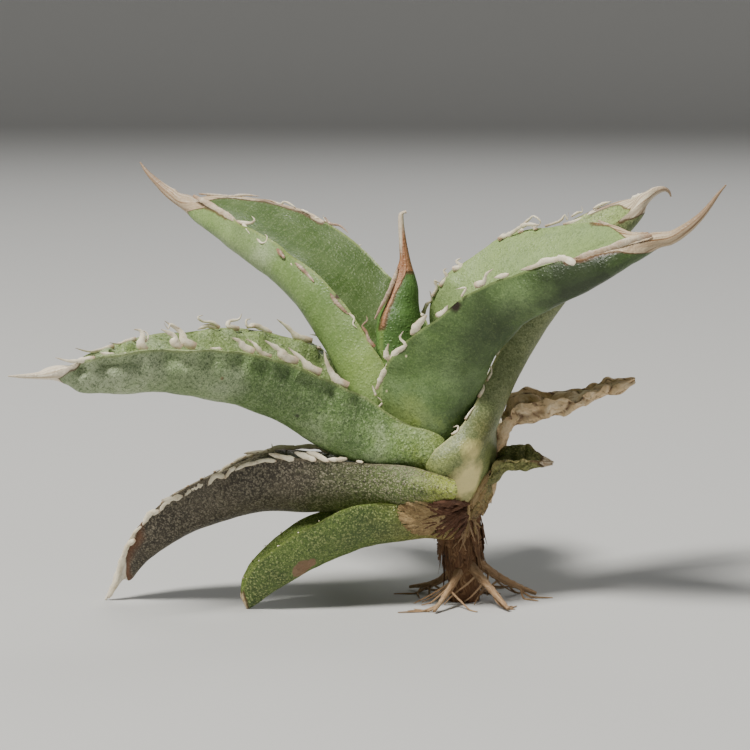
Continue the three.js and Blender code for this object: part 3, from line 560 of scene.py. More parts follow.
# %% Teeth that can be seen from the front: margin, habit, width, line
TEETH = {
    "left_broad_leaf": [
        ("near", "hook", 1.45, [(-45.5, 2.7), (-47.4, 2.5), (-49.6, 2.3), (-52.1, 2.9)]),
        ("near", "flat", 0.97, [(-41.9, 3.3), (-43.2, 3.4), (-44.6, 3.7)]),
        ("near", "hook", 0.73, [(-40.0, 3.5), (-40.9, 3.5), (-41.5, 3.7)]),
        ("near", "hook", 2.02, [(-37.1, 4.1), (-37.9, 5.2), (-37.5, 6.4), (-37.9, 7.4), (-39.0, 7.6)]),
        ("near", "thin", 0.48, [(-37.1, 5.5), (-36.6, 6.4), (-37.1, 7.2), (-38.2, 7.5)]),
        ("near", "hook", 1.94, [(-31.2, 4.5), (-32.3, 5.5), (-32.2, 6.4), (-33.3, 7.1), (-34.5, 7.6)]),
        ("near", "hook", 1.86, [(-28.8, 4.7), (-30.6, 5.6), (-31.1, 7.1), (-32.5, 8.1), (-33.9, 9.0)]),
        ("near", "thin", 0.48, [(-31.2, 7.5), (-32.9, 8.5), (-33.3, 7.7), (-34.0, 8.7)]),
        ("near", "flat", 0.89, [(-24.3, 4.3), (-25.2, 4.2), (-26.3, 4.5)]),
        ("near", "hook", 1.94, [(-19.1, 3.7), (-20.7, 4.7), (-21.5, 5.7), (-22.7, 6.2)]),
        ("near", "hook", 1.37, [(-16.2, 3.0), (-17.8, 3.6), (-18.5, 4.7), (-19.3, 5.5), (-20.4, 6.0)]),
        ("near", "hook", 2.1, [(-11.7, 2.3), (-14.0, 3.1), (-14.9, 4.3), (-16.0, 5.0), (-17.2, 5.8)]),
        ("near", "hook", 1.7, [(-7.9, 0.4), (-10.0, 1.4), (-11.0, 2.7), (-12.3, 3.7), (-13.3, 4.6)]),
        ("near", "hook", 1.86, [(-3.3, -1.8), (-5.3, -0.7), (-6.3, 0.8), (-7.0, 2.5), (-7.3, 4.1)]),
        ("far", "hook", 1.05, [(-42.4, 4.8), (-44.4, 4.2), (-46.6, 3.9), (-48.8, 4.5)]),
        ("far", "hook", 0.89, [(-38.7, 6.0), (-40.3, 5.6), (-41.7, 5.2), (-43.1, 5.4)]),
        ("far", "flat", 0.89, [(-24.8, 7.8), (-26.6, 8.2), (-28.4, 7.6)]),
        ("far", "thin", 0.81, [(-24.8, 7.9), (-26.0, 8.8), (-27.5, 8.9), (-28.4, 9.6), (-27.5, 10.0)]),
        ("far", "hook", 1.21, [(-21.5, 7.7), (-23.4, 8.2), (-23.0, 9.0), (-21.5, 9.3), (-21.0, 10.3)]),
        ("far", "flat", 1.05, [(-16.0, 7.1), (-17.7, 7.8), (-19.3, 8.3), (-20.3, 7.7)]),
        ("far", "thin", 0.73, [(-18.9, 8.1), (-20.1, 8.1), (-20.3, 9.1), (-19.5, 9.4)]),
        ("far", "hook", 1.53, [(-9.3, 5.7), (-11.9, 6.4), (-13.1, 7.7), (-14.2, 8.6), (-15.2, 9.3)]),
        ("far", "thin", 0.48, [(-7.4, 5.5), (-8.4, 6.5), (-9.7, 6.8)]),
    ],
    "upper_left_leaf": [
        ("near", "tan", 1.1, [(-29.1, 29.9), (-26.0, 28.2), (-23.7, 26.8), (-21.7, 25.4)]),
        ("near", "hook", 1.08, [(-21.8, 25.5), (-20.5, 25.3), (-19.3, 25.4), (-18.9, 25.9), (-19.4, 26.5)]),
        ("near", "hook", 0.83, [(-21.0, 25.4), (-20.3, 24.5), (-19.7, 23.5)]),
        ("near", "thin", 0.51, [(-18.6, 22.9), (-17.7, 22.0), (-17.0, 22.2), (-16.8, 23.0), (-17.2, 23.5)]),
        ("near", "brown", 0.96, [(-15.2, 21.1), (-14.5, 20.2), (-13.9, 19.5)]),
        ("near", "flat", 0.45, [(-13.0, 19.2), (-12.6, 18.2)]),
        ("near", "brown", 0.8, [(-12.2, 18.8), (-11.0, 17.7), (-9.9, 16.6), (-9.0, 15.5)]),
        ("near", "brown", 0.83, [(-6.3, 13.6), (-5.5, 12.4), (-4.4, 11.2), (-3.3, 10.1)]),
        ("near", "thin", 0.51, [(-3.2, 10.3), (-2.3, 9.4), (-2.5, 8.5), (-1.8, 7.8)]),
        ("near", "brownhook", 0.89, [
            (1.1, 4.7), (0.1, 5.9), (-0.3, 7.2), (-1.0, 8.2), (-0.1, 9.1), (-0.3, 9.9),
        ]),
        ("far", "tan", 0.54, [(-28.2, 30.2), (-25.6, 30.0), (-23.1, 29.8), (-20.5, 30.0), (-18.2, 29.8)]),
        ("far", "flat", 0.45, [(-16.2, 29.1), (-14.5, 28.5), (-14.0, 28.9), (-12.6, 28.3), (-12.1, 27.9)]),
        ("far", "flat", 0.38, [(-11.3, 27.6), (-10.5, 27.3), (-9.6, 26.9)]),
        ("far", "flat", 0.32, [(-9.0, 26.3), (-8.2, 26.1)]),
        ("far", "brown", 0.54, [(-7.2, 26.3), (-6.4, 25.3), (-4.7, 24.9), (-3.3, 23.7)]),
        ("far", "thin", 0.38, [(-6.3, 25.3), (-7.2, 25.8), (-7.5, 26.7)]),
        ("far", "thin", 0.26, [(-1.5, 21.6), (-1.0, 21.7)]),
    ],
    "centre_bud_leaf": [
        ("near", "brown", 0.83, [(5.0, 18.0), (4.6, 16.6), (3.4, 13.7), (2.2, 11.4), (1.1, 9.3)]),
    ],
    "right_broad_leaf": [
        ("near", "tan", 1.2, [(47.3, 23.3), (43.5, 22.4), (39.5, 20.9), (36.2, 19.9), (34.6, 19.5)]),
        ("far", "tan", 0.9, [(46.7, 23.6), (43.5, 23.5), (41.1, 24.4), (38.3, 25.8)]),
        ("near", "strip", 1.21, [
            (35.2, 18.1), (34.2, 18.7), (32.4, 19.5), (31.0, 19.2), (29.4, 19.0), (28.0, 18.2),
            (25.5, 17.5),
        ]),
        ("near", "flat", 0.9, [(23.5, 16.8), (22.3, 16.5), (21.0, 16.2)]),
        ("near", "hook", 1.4, [(17.8, 14.9), (19.3, 15.5), (19.7, 16.8), (20.9, 17.7)]),
        ("near", "thin", 0.57, [(15.6, 13.1), (16.3, 14.5), (14.7, 14.3)]),
        ("near", "flat", 1.3, [(11.3, 9.9), (12.6, 10.3), (13.3, 11.6)]),
        ("near", "flat", 1.53, [(7.2, 6.7), (8.3, 8.3), (9.8, 10.0)]),
        ("near", "hook", 1.25, [(3.6, 2.0), (4.7, 3.8), (6.3, 5.0), (5.3, 6.2), (5.9, 7.3)]),
        ("near", "strip", 1.0, [(1.4, -2.4), (2.3, -0.2), (3.6, 2.2), (3.0, 3.4), (3.4, 5.2)]),
        ("near", "thin", 0.6, [(1.3, -3.4), (0.7, -1.7)]),
        ("near", "thin", 0.6, [(1.8, -5.4), (2.4, -4.5), (1.5, -3.6)]),
        ("far", "thin", 0.85, [(9.2, 10.3), (9.9, 11.9), (10.6, 12.4), (10.3, 14.0)]),
        ("far", "thin", 0.85, [(10.8, 13.2), (11.5, 14.6), (11.1, 15.7), (12.0, 15.3)]),
        ("far", "hook", 1.0, [(12.0, 14.8), (13.2, 16.4), (12.6, 17.4), (13.1, 17.8)]),
        ("far", "hook", 1.15, [(14.1, 17.6), (15.6, 18.1), (14.7, 19.0), (15.6, 19.5)]),
        ("far", "strip", 0.81, [(21.6, 22.7), (23.7, 23.5), (26.1, 25.0), (28.6, 25.0)]),
        ("far", "thin", 0.57, [(25.8, 25.0), (26.9, 26.0), (27.6, 26.5), (28.8, 25.5), (28.0, 24.6)]),
    ],
    "right_back_leaf": [
        ("far", "strip", 0.81, [(32.5, 25.1), (35.0, 25.7), (37.0, 26.7), (38.5, 27.4)]),
        ("far", "hook", 0.65, [(29.5, 24.8), (32.2, 25.8), (32.8, 26.7), (33.2, 25.8), (33.4, 27.1)]),
        ("far", "hook", 0.65, [(33.9, 26.4), (35.0, 27.1), (35.7, 27.2), (35.6, 28.2)]),
        ("far", "flat", 0.65, [(37.5, 27.7), (39.1, 28.5), (40.6, 28.9)]),
        ("near", "flat", 0.97, [(21.5, 3.1), (22.1, 4.5), (22.8, 6.0)]),
        ("near", "thin", 0.57, [(19.8, -1.0), (20.6, 0.6), (20.1, 2.1)]),
        ("near", "hook", 0.73, [(18.4, -3.7), (19.3, -2.0), (18.8, -0.8)]),
        ("near", "thin", 0.48, [(16.2, -7.4), (17.2, -5.9), (18.1, -4.9)]),
        ("near", "thin", 0.57, [(13.9, -9.9), (14.9, -9.3), (15.0, -8.5), (14.2, -8.7)]),
        ("far", "strip", 0.97, [(43.6, 28.0), (44.5, 29.5), (47.1, 30.3), (48.8, 30.8)]),
    ],
    "grey_drooping_leaf": [
        ("near", "flat", 0.73, [(-4.0, -14.0), (-5.1, -14.1), (-6.4, -14.1)]),
        ("near", "flat", 0.48, [(-1.1, -14.5), (-1.7, -14.4)]),
        ("near", "flat", 0.89, [(-7.2, -14.1), (-8.5, -13.4), (-9.7, -13.0)]),
        ("near", "flat", 0.97, [(-9.3, -14.0), (-10.6, -13.5), (-11.7, -13.1)]),
        ("near", "flat", 0.97, [(-12.8, -14.0), (-14.2, -13.7), (-15.8, -13.3)]),
        ("near", "flat", 0.65, [(-15.9, -14.3), (-17.2, -14.2), (-18.7, -14.6)]),
        ("near", "flat", 0.61, [(-19.0, -14.7), (-20.5, -15.0), (-21.9, -15.7)]),
        ("near", "flat", 0.65, [(-22.4, -15.5), (-23.0, -16.0), (-23.6, -16.9)]),
        ("near", "flat", 0.81, [(-24.2, -16.9), (-25.3, -16.7), (-25.9, -17.2), (-26.4, -18.0)]),
        ("near", "flat", 0.81, [(-27.6, -18.2), (-28.1, -18.4), (-28.8, -19.0)]),
        ("near", "flat", 0.65, [(-28.9, -18.8), (-29.5, -19.1), (-30.2, -19.8)]),
        ("near", "flat", 0.89, [(-31.4, -20.3), (-32.5, -20.6), (-33.8, -20.8)]),
        ("near", "flat", 0.65, [(-33.2, -21.1), (-33.9, -21.5), (-34.5, -22.4)]),
        ("near", "flat", 0.97, [(-35.2, -22.8), (-36.2, -23.0), (-36.8, -23.7), (-37.3, -24.6)]),
        ("near", "flat", 0.48, [(-38.1, -25.5), (-38.8, -26.1), (-39.4, -26.9)]),
        ("near", "flat", 0.81, [(-39.2, -27.7), (-40.0, -28.3), (-40.6, -29.7)]),
        ("near", "strip", 0.89, [(-40.6, -29.8), (-41.5, -32.4), (-42.0, -34.4), (-42.8, -36.3)]),
        ("far", "flat", 0.85, [(-12.6, -12.1), (-14.4, -12.0), (-16.0, -12.3)]),
        ("far", "thin", 0.36, [(-15.5, -12.9), (-15.9, -12.3), (-16.0, -11.7)]),
        ("far", "flat", 0.85, [(-8.5, -12.0), (-10.4, -11.9), (-12.2, -12.1)]),
        ("far", "flat", 0.7, [(-6.9, -12.8), (-7.7, -12.3), (-8.5, -12.0)]),
        ("far", "flat", 0.75, [(-16.3, -12.6), (-18.0, -12.9), (-19.8, -13.0)]),
        ("far", "flat", 0.7, [(-19.6, -13.4), (-20.9, -13.8), (-22.1, -14.4)]),
        ("far", "flat", 0.6, [(-22.6, -14.8), (-23.6, -15.3), (-24.5, -16.0)]),
    ],
}
print("teeth and strips placed one by one:", sum(len(rows) for rows in TEETH.values()))

# %% Hidden margins, with a row of teeth each: leaf, margin, from and to (share of the run), how many, mm
HIDDEN_ROWS = [
    ("centre_bud_leaf", "far", 0.25, 0.68, 6, 1.3),
    ("upper_left_leaf", "far", 0.22, 0.40, 4, 1.6),
    ("right_broad_leaf", "far", 0.62, 0.72, 3, 2.0),
    ("right_back_leaf", "far", 0.22, 0.52, 7, 2.4),
    ("right_back_leaf", "near", 0.52, 0.78, 4, 1.8),
    ("left_broad_leaf", "far", 0.18, 0.30, 3, 2.2),
    ("back_leaf_right", "near", 0.28, 0.84, 8, 2.8),
    ("back_leaf_right", "far", 0.26, 0.84, 8, 2.8),
    ("back_leaf_left", "near", 0.26, 0.84, 8, 2.6),
    ("back_leaf_left", "far", 0.24, 0.84, 9, 2.6),
    ("grey_drooping_leaf", "far", 0.40, 0.86, 12, 1.4),
    ("lowest_green_leaf", "near", 0.45, 0.92, 6, 0.6),
    ("lowest_green_leaf", "far", 0.35, 0.92, 8, 0.7),
]
print("teeth in hidden rows:", sum(row[4] for row in HIDDEN_ROWS))

# %% [markdown]
# ## Relief of a blade
#
# A living blade isn't a clean loft: the margin stands out in a low hump under every tooth, with a dip in
# the skin below it, and the whole face swells and sinks a little. It could be sculpted by hand, but the
# places are known, so the points are moved by rule: humps where the teeth are, dips a step beside them
# on both faces of the blade, and soft noise for the swell. A withered leaf is crossed by folds along
# its length instead.

# %% Humps, dips and swell
RELIEF = {
    "left_broad_leaf": {"hump": 1.5, "dip": 1.3, "swell": 0.34},
    "right_broad_leaf": {"hump": 0.7, "dip": 0.35, "swell": 0.30},
    "upper_left_leaf": {"hump": 0.5, "dip": 0.3, "swell": 0.2},
    "centre_bud_leaf": {"hump": 0.10, "dip": 0.0, "swell": 0.10},
    "right_back_leaf": {"hump": 0.25, "dip": 0.1, "swell": 0.14},
    "back_leaf_right": {"hump": 0.55, "dip": 0.3, "swell": 0.18},
    "back_leaf_left": {"hump": 0.55, "dip": 0.3, "swell": 0.18},
    "grey_drooping_leaf": {"hump": 0.30, "dip": 0.1, "swell": 0.22},
    "lowest_green_leaf": {"hump": 0.15, "dip": 0.0, "swell": 0.32},
    "small_withered_leaf": {"hump": 0.0, "dip": 0.0, "swell": 0.5, "fold": 0.35},
    "dry_brown_leaf": {"hump": 0.0, "dip": 0.0, "swell": 0.55, "fold": 0.45},
}
HUMP_WIDTH = 1.5
HUMP_REACH = 1.3
DIP_AHEAD = 1.7
DIP_BELOW = 1.5
DIP_WIDTH = 1.1
SWELL_SIZE = 6.0
FINE_SIZE = 1.7
TWIST_SIZE = 5.0
FOLDS_AROUND = 5.0
FOOTED = ("hook", "flat", "brownhook")
print("leaves with folds:", sum("fold" in habit for habit in RELIEF.values()))


# %% Where the feet of the teeth are
def on_rail(facts, margin, across, up):
    """The ring whose margin is seen nearest to this place."""
    line = seen(facts[margin])
    return int(np.argmin((line[:, 0] - across) ** 2 + (line[:, 2] - up) ** 2))


def feet_on(name, facts):
    """How far along its margin each tooth's foot is, in mm."""
    feet = {"near": [], "far": []}
    for margin, kind, width, line in TEETH.get(name, []):
        if kind in FOOTED:
            feet[margin].append(facts["run"][on_rail(facts, margin, *line[0])])
    for leaf, margin, start, stop, count, size in HIDDEN_ROWS:
        if leaf == name:
            feet[margin] += list(np.linspace(start, stop, count) * facts["end"])
    return feet


print("teeth that lift their margin:", sum(row[1] in FOOTED for rows in TEETH.values() for row in rows))


# %% Moving the points
def bell(value, centre, width):
    """One at the centre, and falling softly to nothing about two widths away."""
    return np.exp(-(((value - centre) / width) ** 2))


def noise_at(points, size):
    """Soft noise at each point, with features this many mm across."""
    return np.array([noise.noise(Vector(p) / size) for p in points])


def relief(name, facts):
    """Moves the blade's points in and out along their normals."""
    habit = RELIEF[name]
    piece, run = facts["piece"], facts["run"][facts["row"]]
    points = points_of(piece.data) / MM
    normals = np.zeros(len(points) * 3)
    piece.data.vertex_normals.foreach_get("vector", normals)
    normals = normals.reshape(-1, 3)
    outward = unit(points - facts["middle"][facts["row"]])
    blade = np.clip((facts["end"] + 1 - run) / 3, 0, 1)
    is_near = facts["across"] < 0
    inwards = np.where(facts["inner"], -1, 1)
    for margin, places in feet_on(name, facts).items():
        on_side = is_near if margin == "near" else ~is_near
        for foot in places:
            at_foot = bell(run, foot, HUMP_WIDTH) * on_side * blade
            hump = habit["hump"] * at_foot * bell(facts["margin"], 0, HUMP_REACH)
            beside = bell(run - foot, DIP_AHEAD, DIP_WIDTH) * on_side * blade
            dip = habit["dip"] * beside * bell(facts["margin"], DIP_BELOW, DIP_WIDTH)
            points += outward * hump[:, None] - normals * (dip * inwards)[:, None]
    fine_share = 1.3 if "fold" in habit else 0.3
    swell = noise_at(points, SWELL_SIZE) + fine_share * noise_at(points, FINE_SIZE)
    lift = habit["swell"] * swell * (0.25 + 0.75 * blade) * facts["share"]
    if "fold" in habit:
        twist = noise_at(points, TWIST_SIZE)
        crease = np.abs(np.sin(FOLDS_AROUND * facts["across"] + 5 * twist + 0.2 * run)) ** 0.6
        lift = lift + habit["fold"] * (2 * crease - 1.4)
        # notes how deep in a fold's hollow each point lies, where the dry finish paints shade
        note(piece.data, "crease", 1 - crease)
    points += normals * lift[:, None]
    points[:, 2] = np.maximum(points[:, 2], 0)
    lay_points(piece, points)


print("a bell two widths off its centre:", round(float(bell(2, 0, 1)), 3))

# %% Blades
blades = {}
for leaf in LEAF_LINES:
    blades[leaf] = lay_blade(leaf)
    relief(leaf, blades[leaf])
print("blades:", len(blades), "faces each:", len(LEAF_BAR.data.polygons))

# %% [markdown]
# ## Colours and nodes
#
# Colours are written as sRGB hex values, as one reads them in a paint program, and turned linear by one
# function. One small function adds a node, sets it and links what feeds it. A pattern's scale is one
# over its real size, because object coordinates are in metres. Every skin here is a first colour with
# washes laid over it, as in watercolour: each wash has a colour, a value that says where it lies, the
# two ends between which it grows, and how strong it gets.

# %% Helpers for the finishes
def hex_colour(text):
    """An sRGB hex value as linear RGBA."""
    parts = [int(text[i : i + 2], 16) / 255 for i in (1, 3, 5)]
    return tuple(c / 12.92 if c <= 0.04045 else ((c + 0.055) / 1.055) ** 2.4 for c in parts) + (1,)


def add(tree, kind, feeds=None, out=0, **settings):
    """Adds one node with its settings and feeds, and gives back one of its outputs."""
    made = tree.nodes.new(kind)
    for key, value in settings.items():
        setattr(made, key, value)
    for key, value in (feeds or {}).items():
        if isinstance(value, bpy.types.NodeSocket):
            tree.links.new(value, made.inputs[key])
        else:
            made.inputs[key].default_value = value
    return made.outputs[out] if made.outputs else made


def per_metre(size_mm):
    """The scale of a pattern whose features are this many mm across."""
    return 1000 / size_mm


print("middle grey is", round(hex_colour("#808080")[0], 3), "in linear light")


# %% Starting, washing and ending a material
def blank(name, notes):
    """A new material: itself, its empty tree, the object's coordinates and the noted numbers."""
    made = bpy.data.materials.new(name)
    made.use_nodes = True
    tree = made.node_tree
    tree.nodes.clear()
    here = add(tree, "ShaderNodeTexCoord", out="Object")
    noted = [add(tree, "ShaderNodeAttribute", out="Fac", attribute_name=key) for key in notes]
    return made, tree, here, *noted


def washes(tree, first, layers):
    """Lays washes over a first colour: (colour, value, start, stop, strength) each."""
    shade = hex_colour(first)
    for colour, value, start, stop, strength in layers:
        amount = add(tree, "ShaderNodeMapRange", {0: value, 1: start, 2: stop, 3: 0.0, 4: strength})
        feeds = {0: amount, 6: shade, 7: hex_colour(colour)}
        shade = add(tree, "ShaderNodeMix", feeds, out=2, data_type="RGBA")
    return shade


def end_material(tree, shade, rough, ior, height, strength, relief_mm):
    """Ends a material with its relief, its shader and the output."""
    bump = add(tree, "ShaderNodeBump", {
        "Height": height, "Strength": strength, "Distance": relief_mm * MM,
    })
    skin = add(tree, "ShaderNodeBsdfPrincipled", {
        "Base Color": shade, "Roughness": rough, "Normal": bump, "IOR": ior,
    })
    add(tree, "ShaderNodeOutputMaterial", {"Surface": skin})


print("a pattern of 1 mm has the scale", per_metre(1))

# %% [markdown]
# ## Living leaf skin
#
# The skin of this agave is a tough waxed cuticle: satin under a thin whitish bloom that rubs off in
# clouds, and gritty with pores and papillae a third of a millimetre apart. The papillae are drawn a
# little coarser than they are, so that they still show. Towards the base the green pales to yellow and
# cream, and at the end it meets the horn at a dark brown line. IOR 1.45, roughness about a half. A
# painted texture would do it too, but noise and the numbers that the blade's points noted follow the
# leaf from every side.

# %% Patterns of the skin
CLOUD_MM = 7
PATCH_MM = 3.2
GRIT_MM = 0.42
SHAKE_MM = 0.6
PORE_MM = 0.55
WANDER_HORN = 1.6
WANDER_BASE = 0.25


def skin_patterns(tree, look, length, here, run, around, horn):
    """The patterns that one leaf's colour, gloss and relief are made from."""
    at = {}
    for key, size, settings in (
        ("cloud", CLOUD_MM, {"Detail": 3.0}),
        ("patch", PATCH_MM, {"Detail": 5.0, "Roughness": 0.65}),
        ("grit", GRIT_MM, {"Detail": 3.0, "Roughness": 0.65, "Distortion": 1.2}),
    ):
        feeds = {"Vector": here, "Scale": per_metre(size), **settings}
        at[key] = add(tree, "ShaderNodeTexNoise", feeds)
    feeds = {"Vector": here, "Scale": per_metre(SHAKE_MM), "Detail": 2.0}
    shake = add(tree, "ShaderNodeTexNoise", feeds, out="Color")
    feeds = {0: shake, 1: (SHAKE_MM * MM,) * 3, 2: here}
    shaken = add(tree, "ShaderNodeVectorMath", feeds, operation="MULTIPLY_ADD")
    feeds = {"Vector": shaken, "Scale": per_metre(look.get("pore", PORE_MM))}
    at["pores"] = add(tree, "ShaderNodeTexVoronoi", feeds)
    feeds = {0: at["cloud"], 1: 0.5, 2: -0.25}
    thick_set = add(tree, "ShaderNodeMath", feeds, operation="MULTIPLY_ADD")
    at["crowd"] = add(tree, "ShaderNodeMath", {0: at["pores"], 1: thick_set}, operation="SUBTRACT")
    for key, stretch, spread, detail in (("fibre", 0.10, 9.0, 4.0), ("ripple", 1.5, 1.0, 2.0)):
        along = add(tree, "ShaderNodeMath", {0: run, 1: stretch}, operation="MULTIPLY")
        turn = add(tree, "ShaderNodeMath", {0: around, 1: spread}, operation="MULTIPLY")
        lie = add(tree, "ShaderNodeCombineXYZ", {0: along, 1: turn})
        at[key] = add(tree, "ShaderNodeTexNoise", {"Vector": lie, "Scale": 1.0, "Detail": detail})
    wander = add(tree, "ShaderNodeMath", {0: at["patch"], 1: 0.5}, operation="SUBTRACT")
    share = add(tree, "ShaderNodeMath", {0: run, 1: length}, operation="DIVIDE")
    for key, reach, line in (("ragged", WANDER_BASE, share), ("horn_edge", WANDER_HORN, horn)):
        at[key] = add(tree, "ShaderNodeMath", {0: wander, 1: reach, 2: line}, operation="MULTIPLY_ADD")
    at["wander"] = wander
    return at


print("grit:", GRIT_MM, "mm, bloom clouds:", CLOUD_MM, "mm")

# %% Washes of the skin
BROWN_LINE = "#5a3d26"
GRAIN = 0.5
COVER = 0.32
WASHES_AT = 6
ON_TOP_ABOVE = 0.8


def skin_washes(tree, look, at, spots):
    """One leaf's washes from the first to the last; weak marks and patches of painted shade lie under the
    grit, strong ones on top.
    """
    bloom, reach = look["bloom_share"], look["base_reach"]
    grain, cover = look.get("grain", GRAIN), look.get("cover", COVER)
    layers = [
        (look["dark"], at["cloud"], 0.42, 0.68, 0.75),
        (look["inner"], at["inner"], 0.3, 0.7, 1.0),
        (look["dark"], at["fibre"], 0.52, 0.75, 0.30),
        (look["bloom"], at["ripple"], 0.5, 0.75, 0.16),
        (look["bloom"], at["cloud"], 0.62 - 0.2 * bloom, 0.36, 0.6 * bloom),
        (look["bloom"], at["patch"], 0.58, 0.75, 0.35 * bloom),
        (look["base"], at["ragged"], reach, reach * 0.35, 0.9),
        (look.get("heel", look["base"]), at["ragged"], look.get("heel_reach", 0.04), 0.0, 1.0),
        (look["grit"], at["grit"], 0.46, 0.66, grain),
        (look["speck"], at["grit"], 0.46, 0.34, 0.45 * grain),
        (look["speck"], at["crowd"], cover + 0.1, cover - 0.1, look["speck_share"]),
        (look["edge"], at["margin"], 0.55, 0.2, 0.5),
    ]
    if "end" in look:
        reach = look["end_reach"]
        layers.append((look["end"], at["horn_edge"], -reach, -0.3 * reach, 0.85))
    for where, size, colour, core, strength in spots:
        feeds = {0: at["here"], 1: where}
        away = add(tree, "ShaderNodeVectorMath", feeds, out="Value", operation="DISTANCE")
        feeds = {0: at["wander"], 1: size * MM * 1.2, 2: away}
        torn = add(tree, "ShaderNodeMath", feeds, operation="MULTIPLY_ADD")
        level = len(layers) if strength > ON_TOP_ABOVE else WASHES_AT
        layers.insert(level, (colour, torn, size * MM, size * MM * core, strength))
    return layers + [(BROWN_LINE, at["horn_edge"], -0.45, -0.1, 0.8)]


print("weak marks lie under wash", WASHES_AT + 1)

# %% Leaf skin
HORN_PALE = "#e6dbbf"
HORN_DARK = "#9a7f65"
HORN_TIP = "#84644a"
BUMP = 0.45


def leaf_skin(name, look, length, spots):
    """Waxed, gritty leaf skin that turns to horn at the leaf's end."""
    made, tree, here, run, around, inner, margin, horn = blank(
        name, ("run", "around", "inner", "margin", "horn")
    )
    at = skin_patterns(tree, look, length, here, run, around, horn)
    at.update(here=here, inner=inner, margin=margin)
    shade = washes(tree, look["outer"], skin_washes(tree, look, at, spots))
    tip = (look.get("tip_from", 5.0), look.get("tip_to", 9.0), look.get("tip_share", 0.6))
    horn_shade = washes(tree, look.get("horn", HORN_PALE), [
        (look.get("horn_dark", HORN_DARK), at["fibre"], 0.35, 0.65, 1.0),
        (look.get("horn_tip", HORN_TIP), horn, *tip),
    ])
    feeds = {0: at["horn_edge"], 1: 0.0, 2: 0.35}
    is_horn = add(tree, "ShaderNodeMapRange", feeds)
    feeds = {0: is_horn, 6: shade, 7: horn_shade}
    shade = add(tree, "ShaderNodeMix", feeds, out=2, data_type="RGBA")

    feeds = {0: at["patch"], 1: 0.35, 2: 0.7, 3: look["rough"] - 0.08, 4: look["rough"] + 0.12}
    rough = add(tree, "ShaderNodeMapRange", feeds)
    pimple = add(tree, "ShaderNodeMapRange", {0: at["pores"], 1: 0.0, 2: 0.5, 3: 1.0, 4: 0.0})
    height = pimple
    for pattern, share in ((at["grit"], 0.6), (at["fibre"], 0.8), (is_horn, 2.5)):
        feeds = {0: pattern, 1: share, 2: height}
        height = add(tree, "ShaderNodeMath", feeds, operation="MULTIPLY_ADD")
    end_material(tree, shade, rough, 1.45, height, look.get("bump", BUMP), 0.25)
    return made


print("horn runs from", HORN_PALE, "to", HORN_TIP)
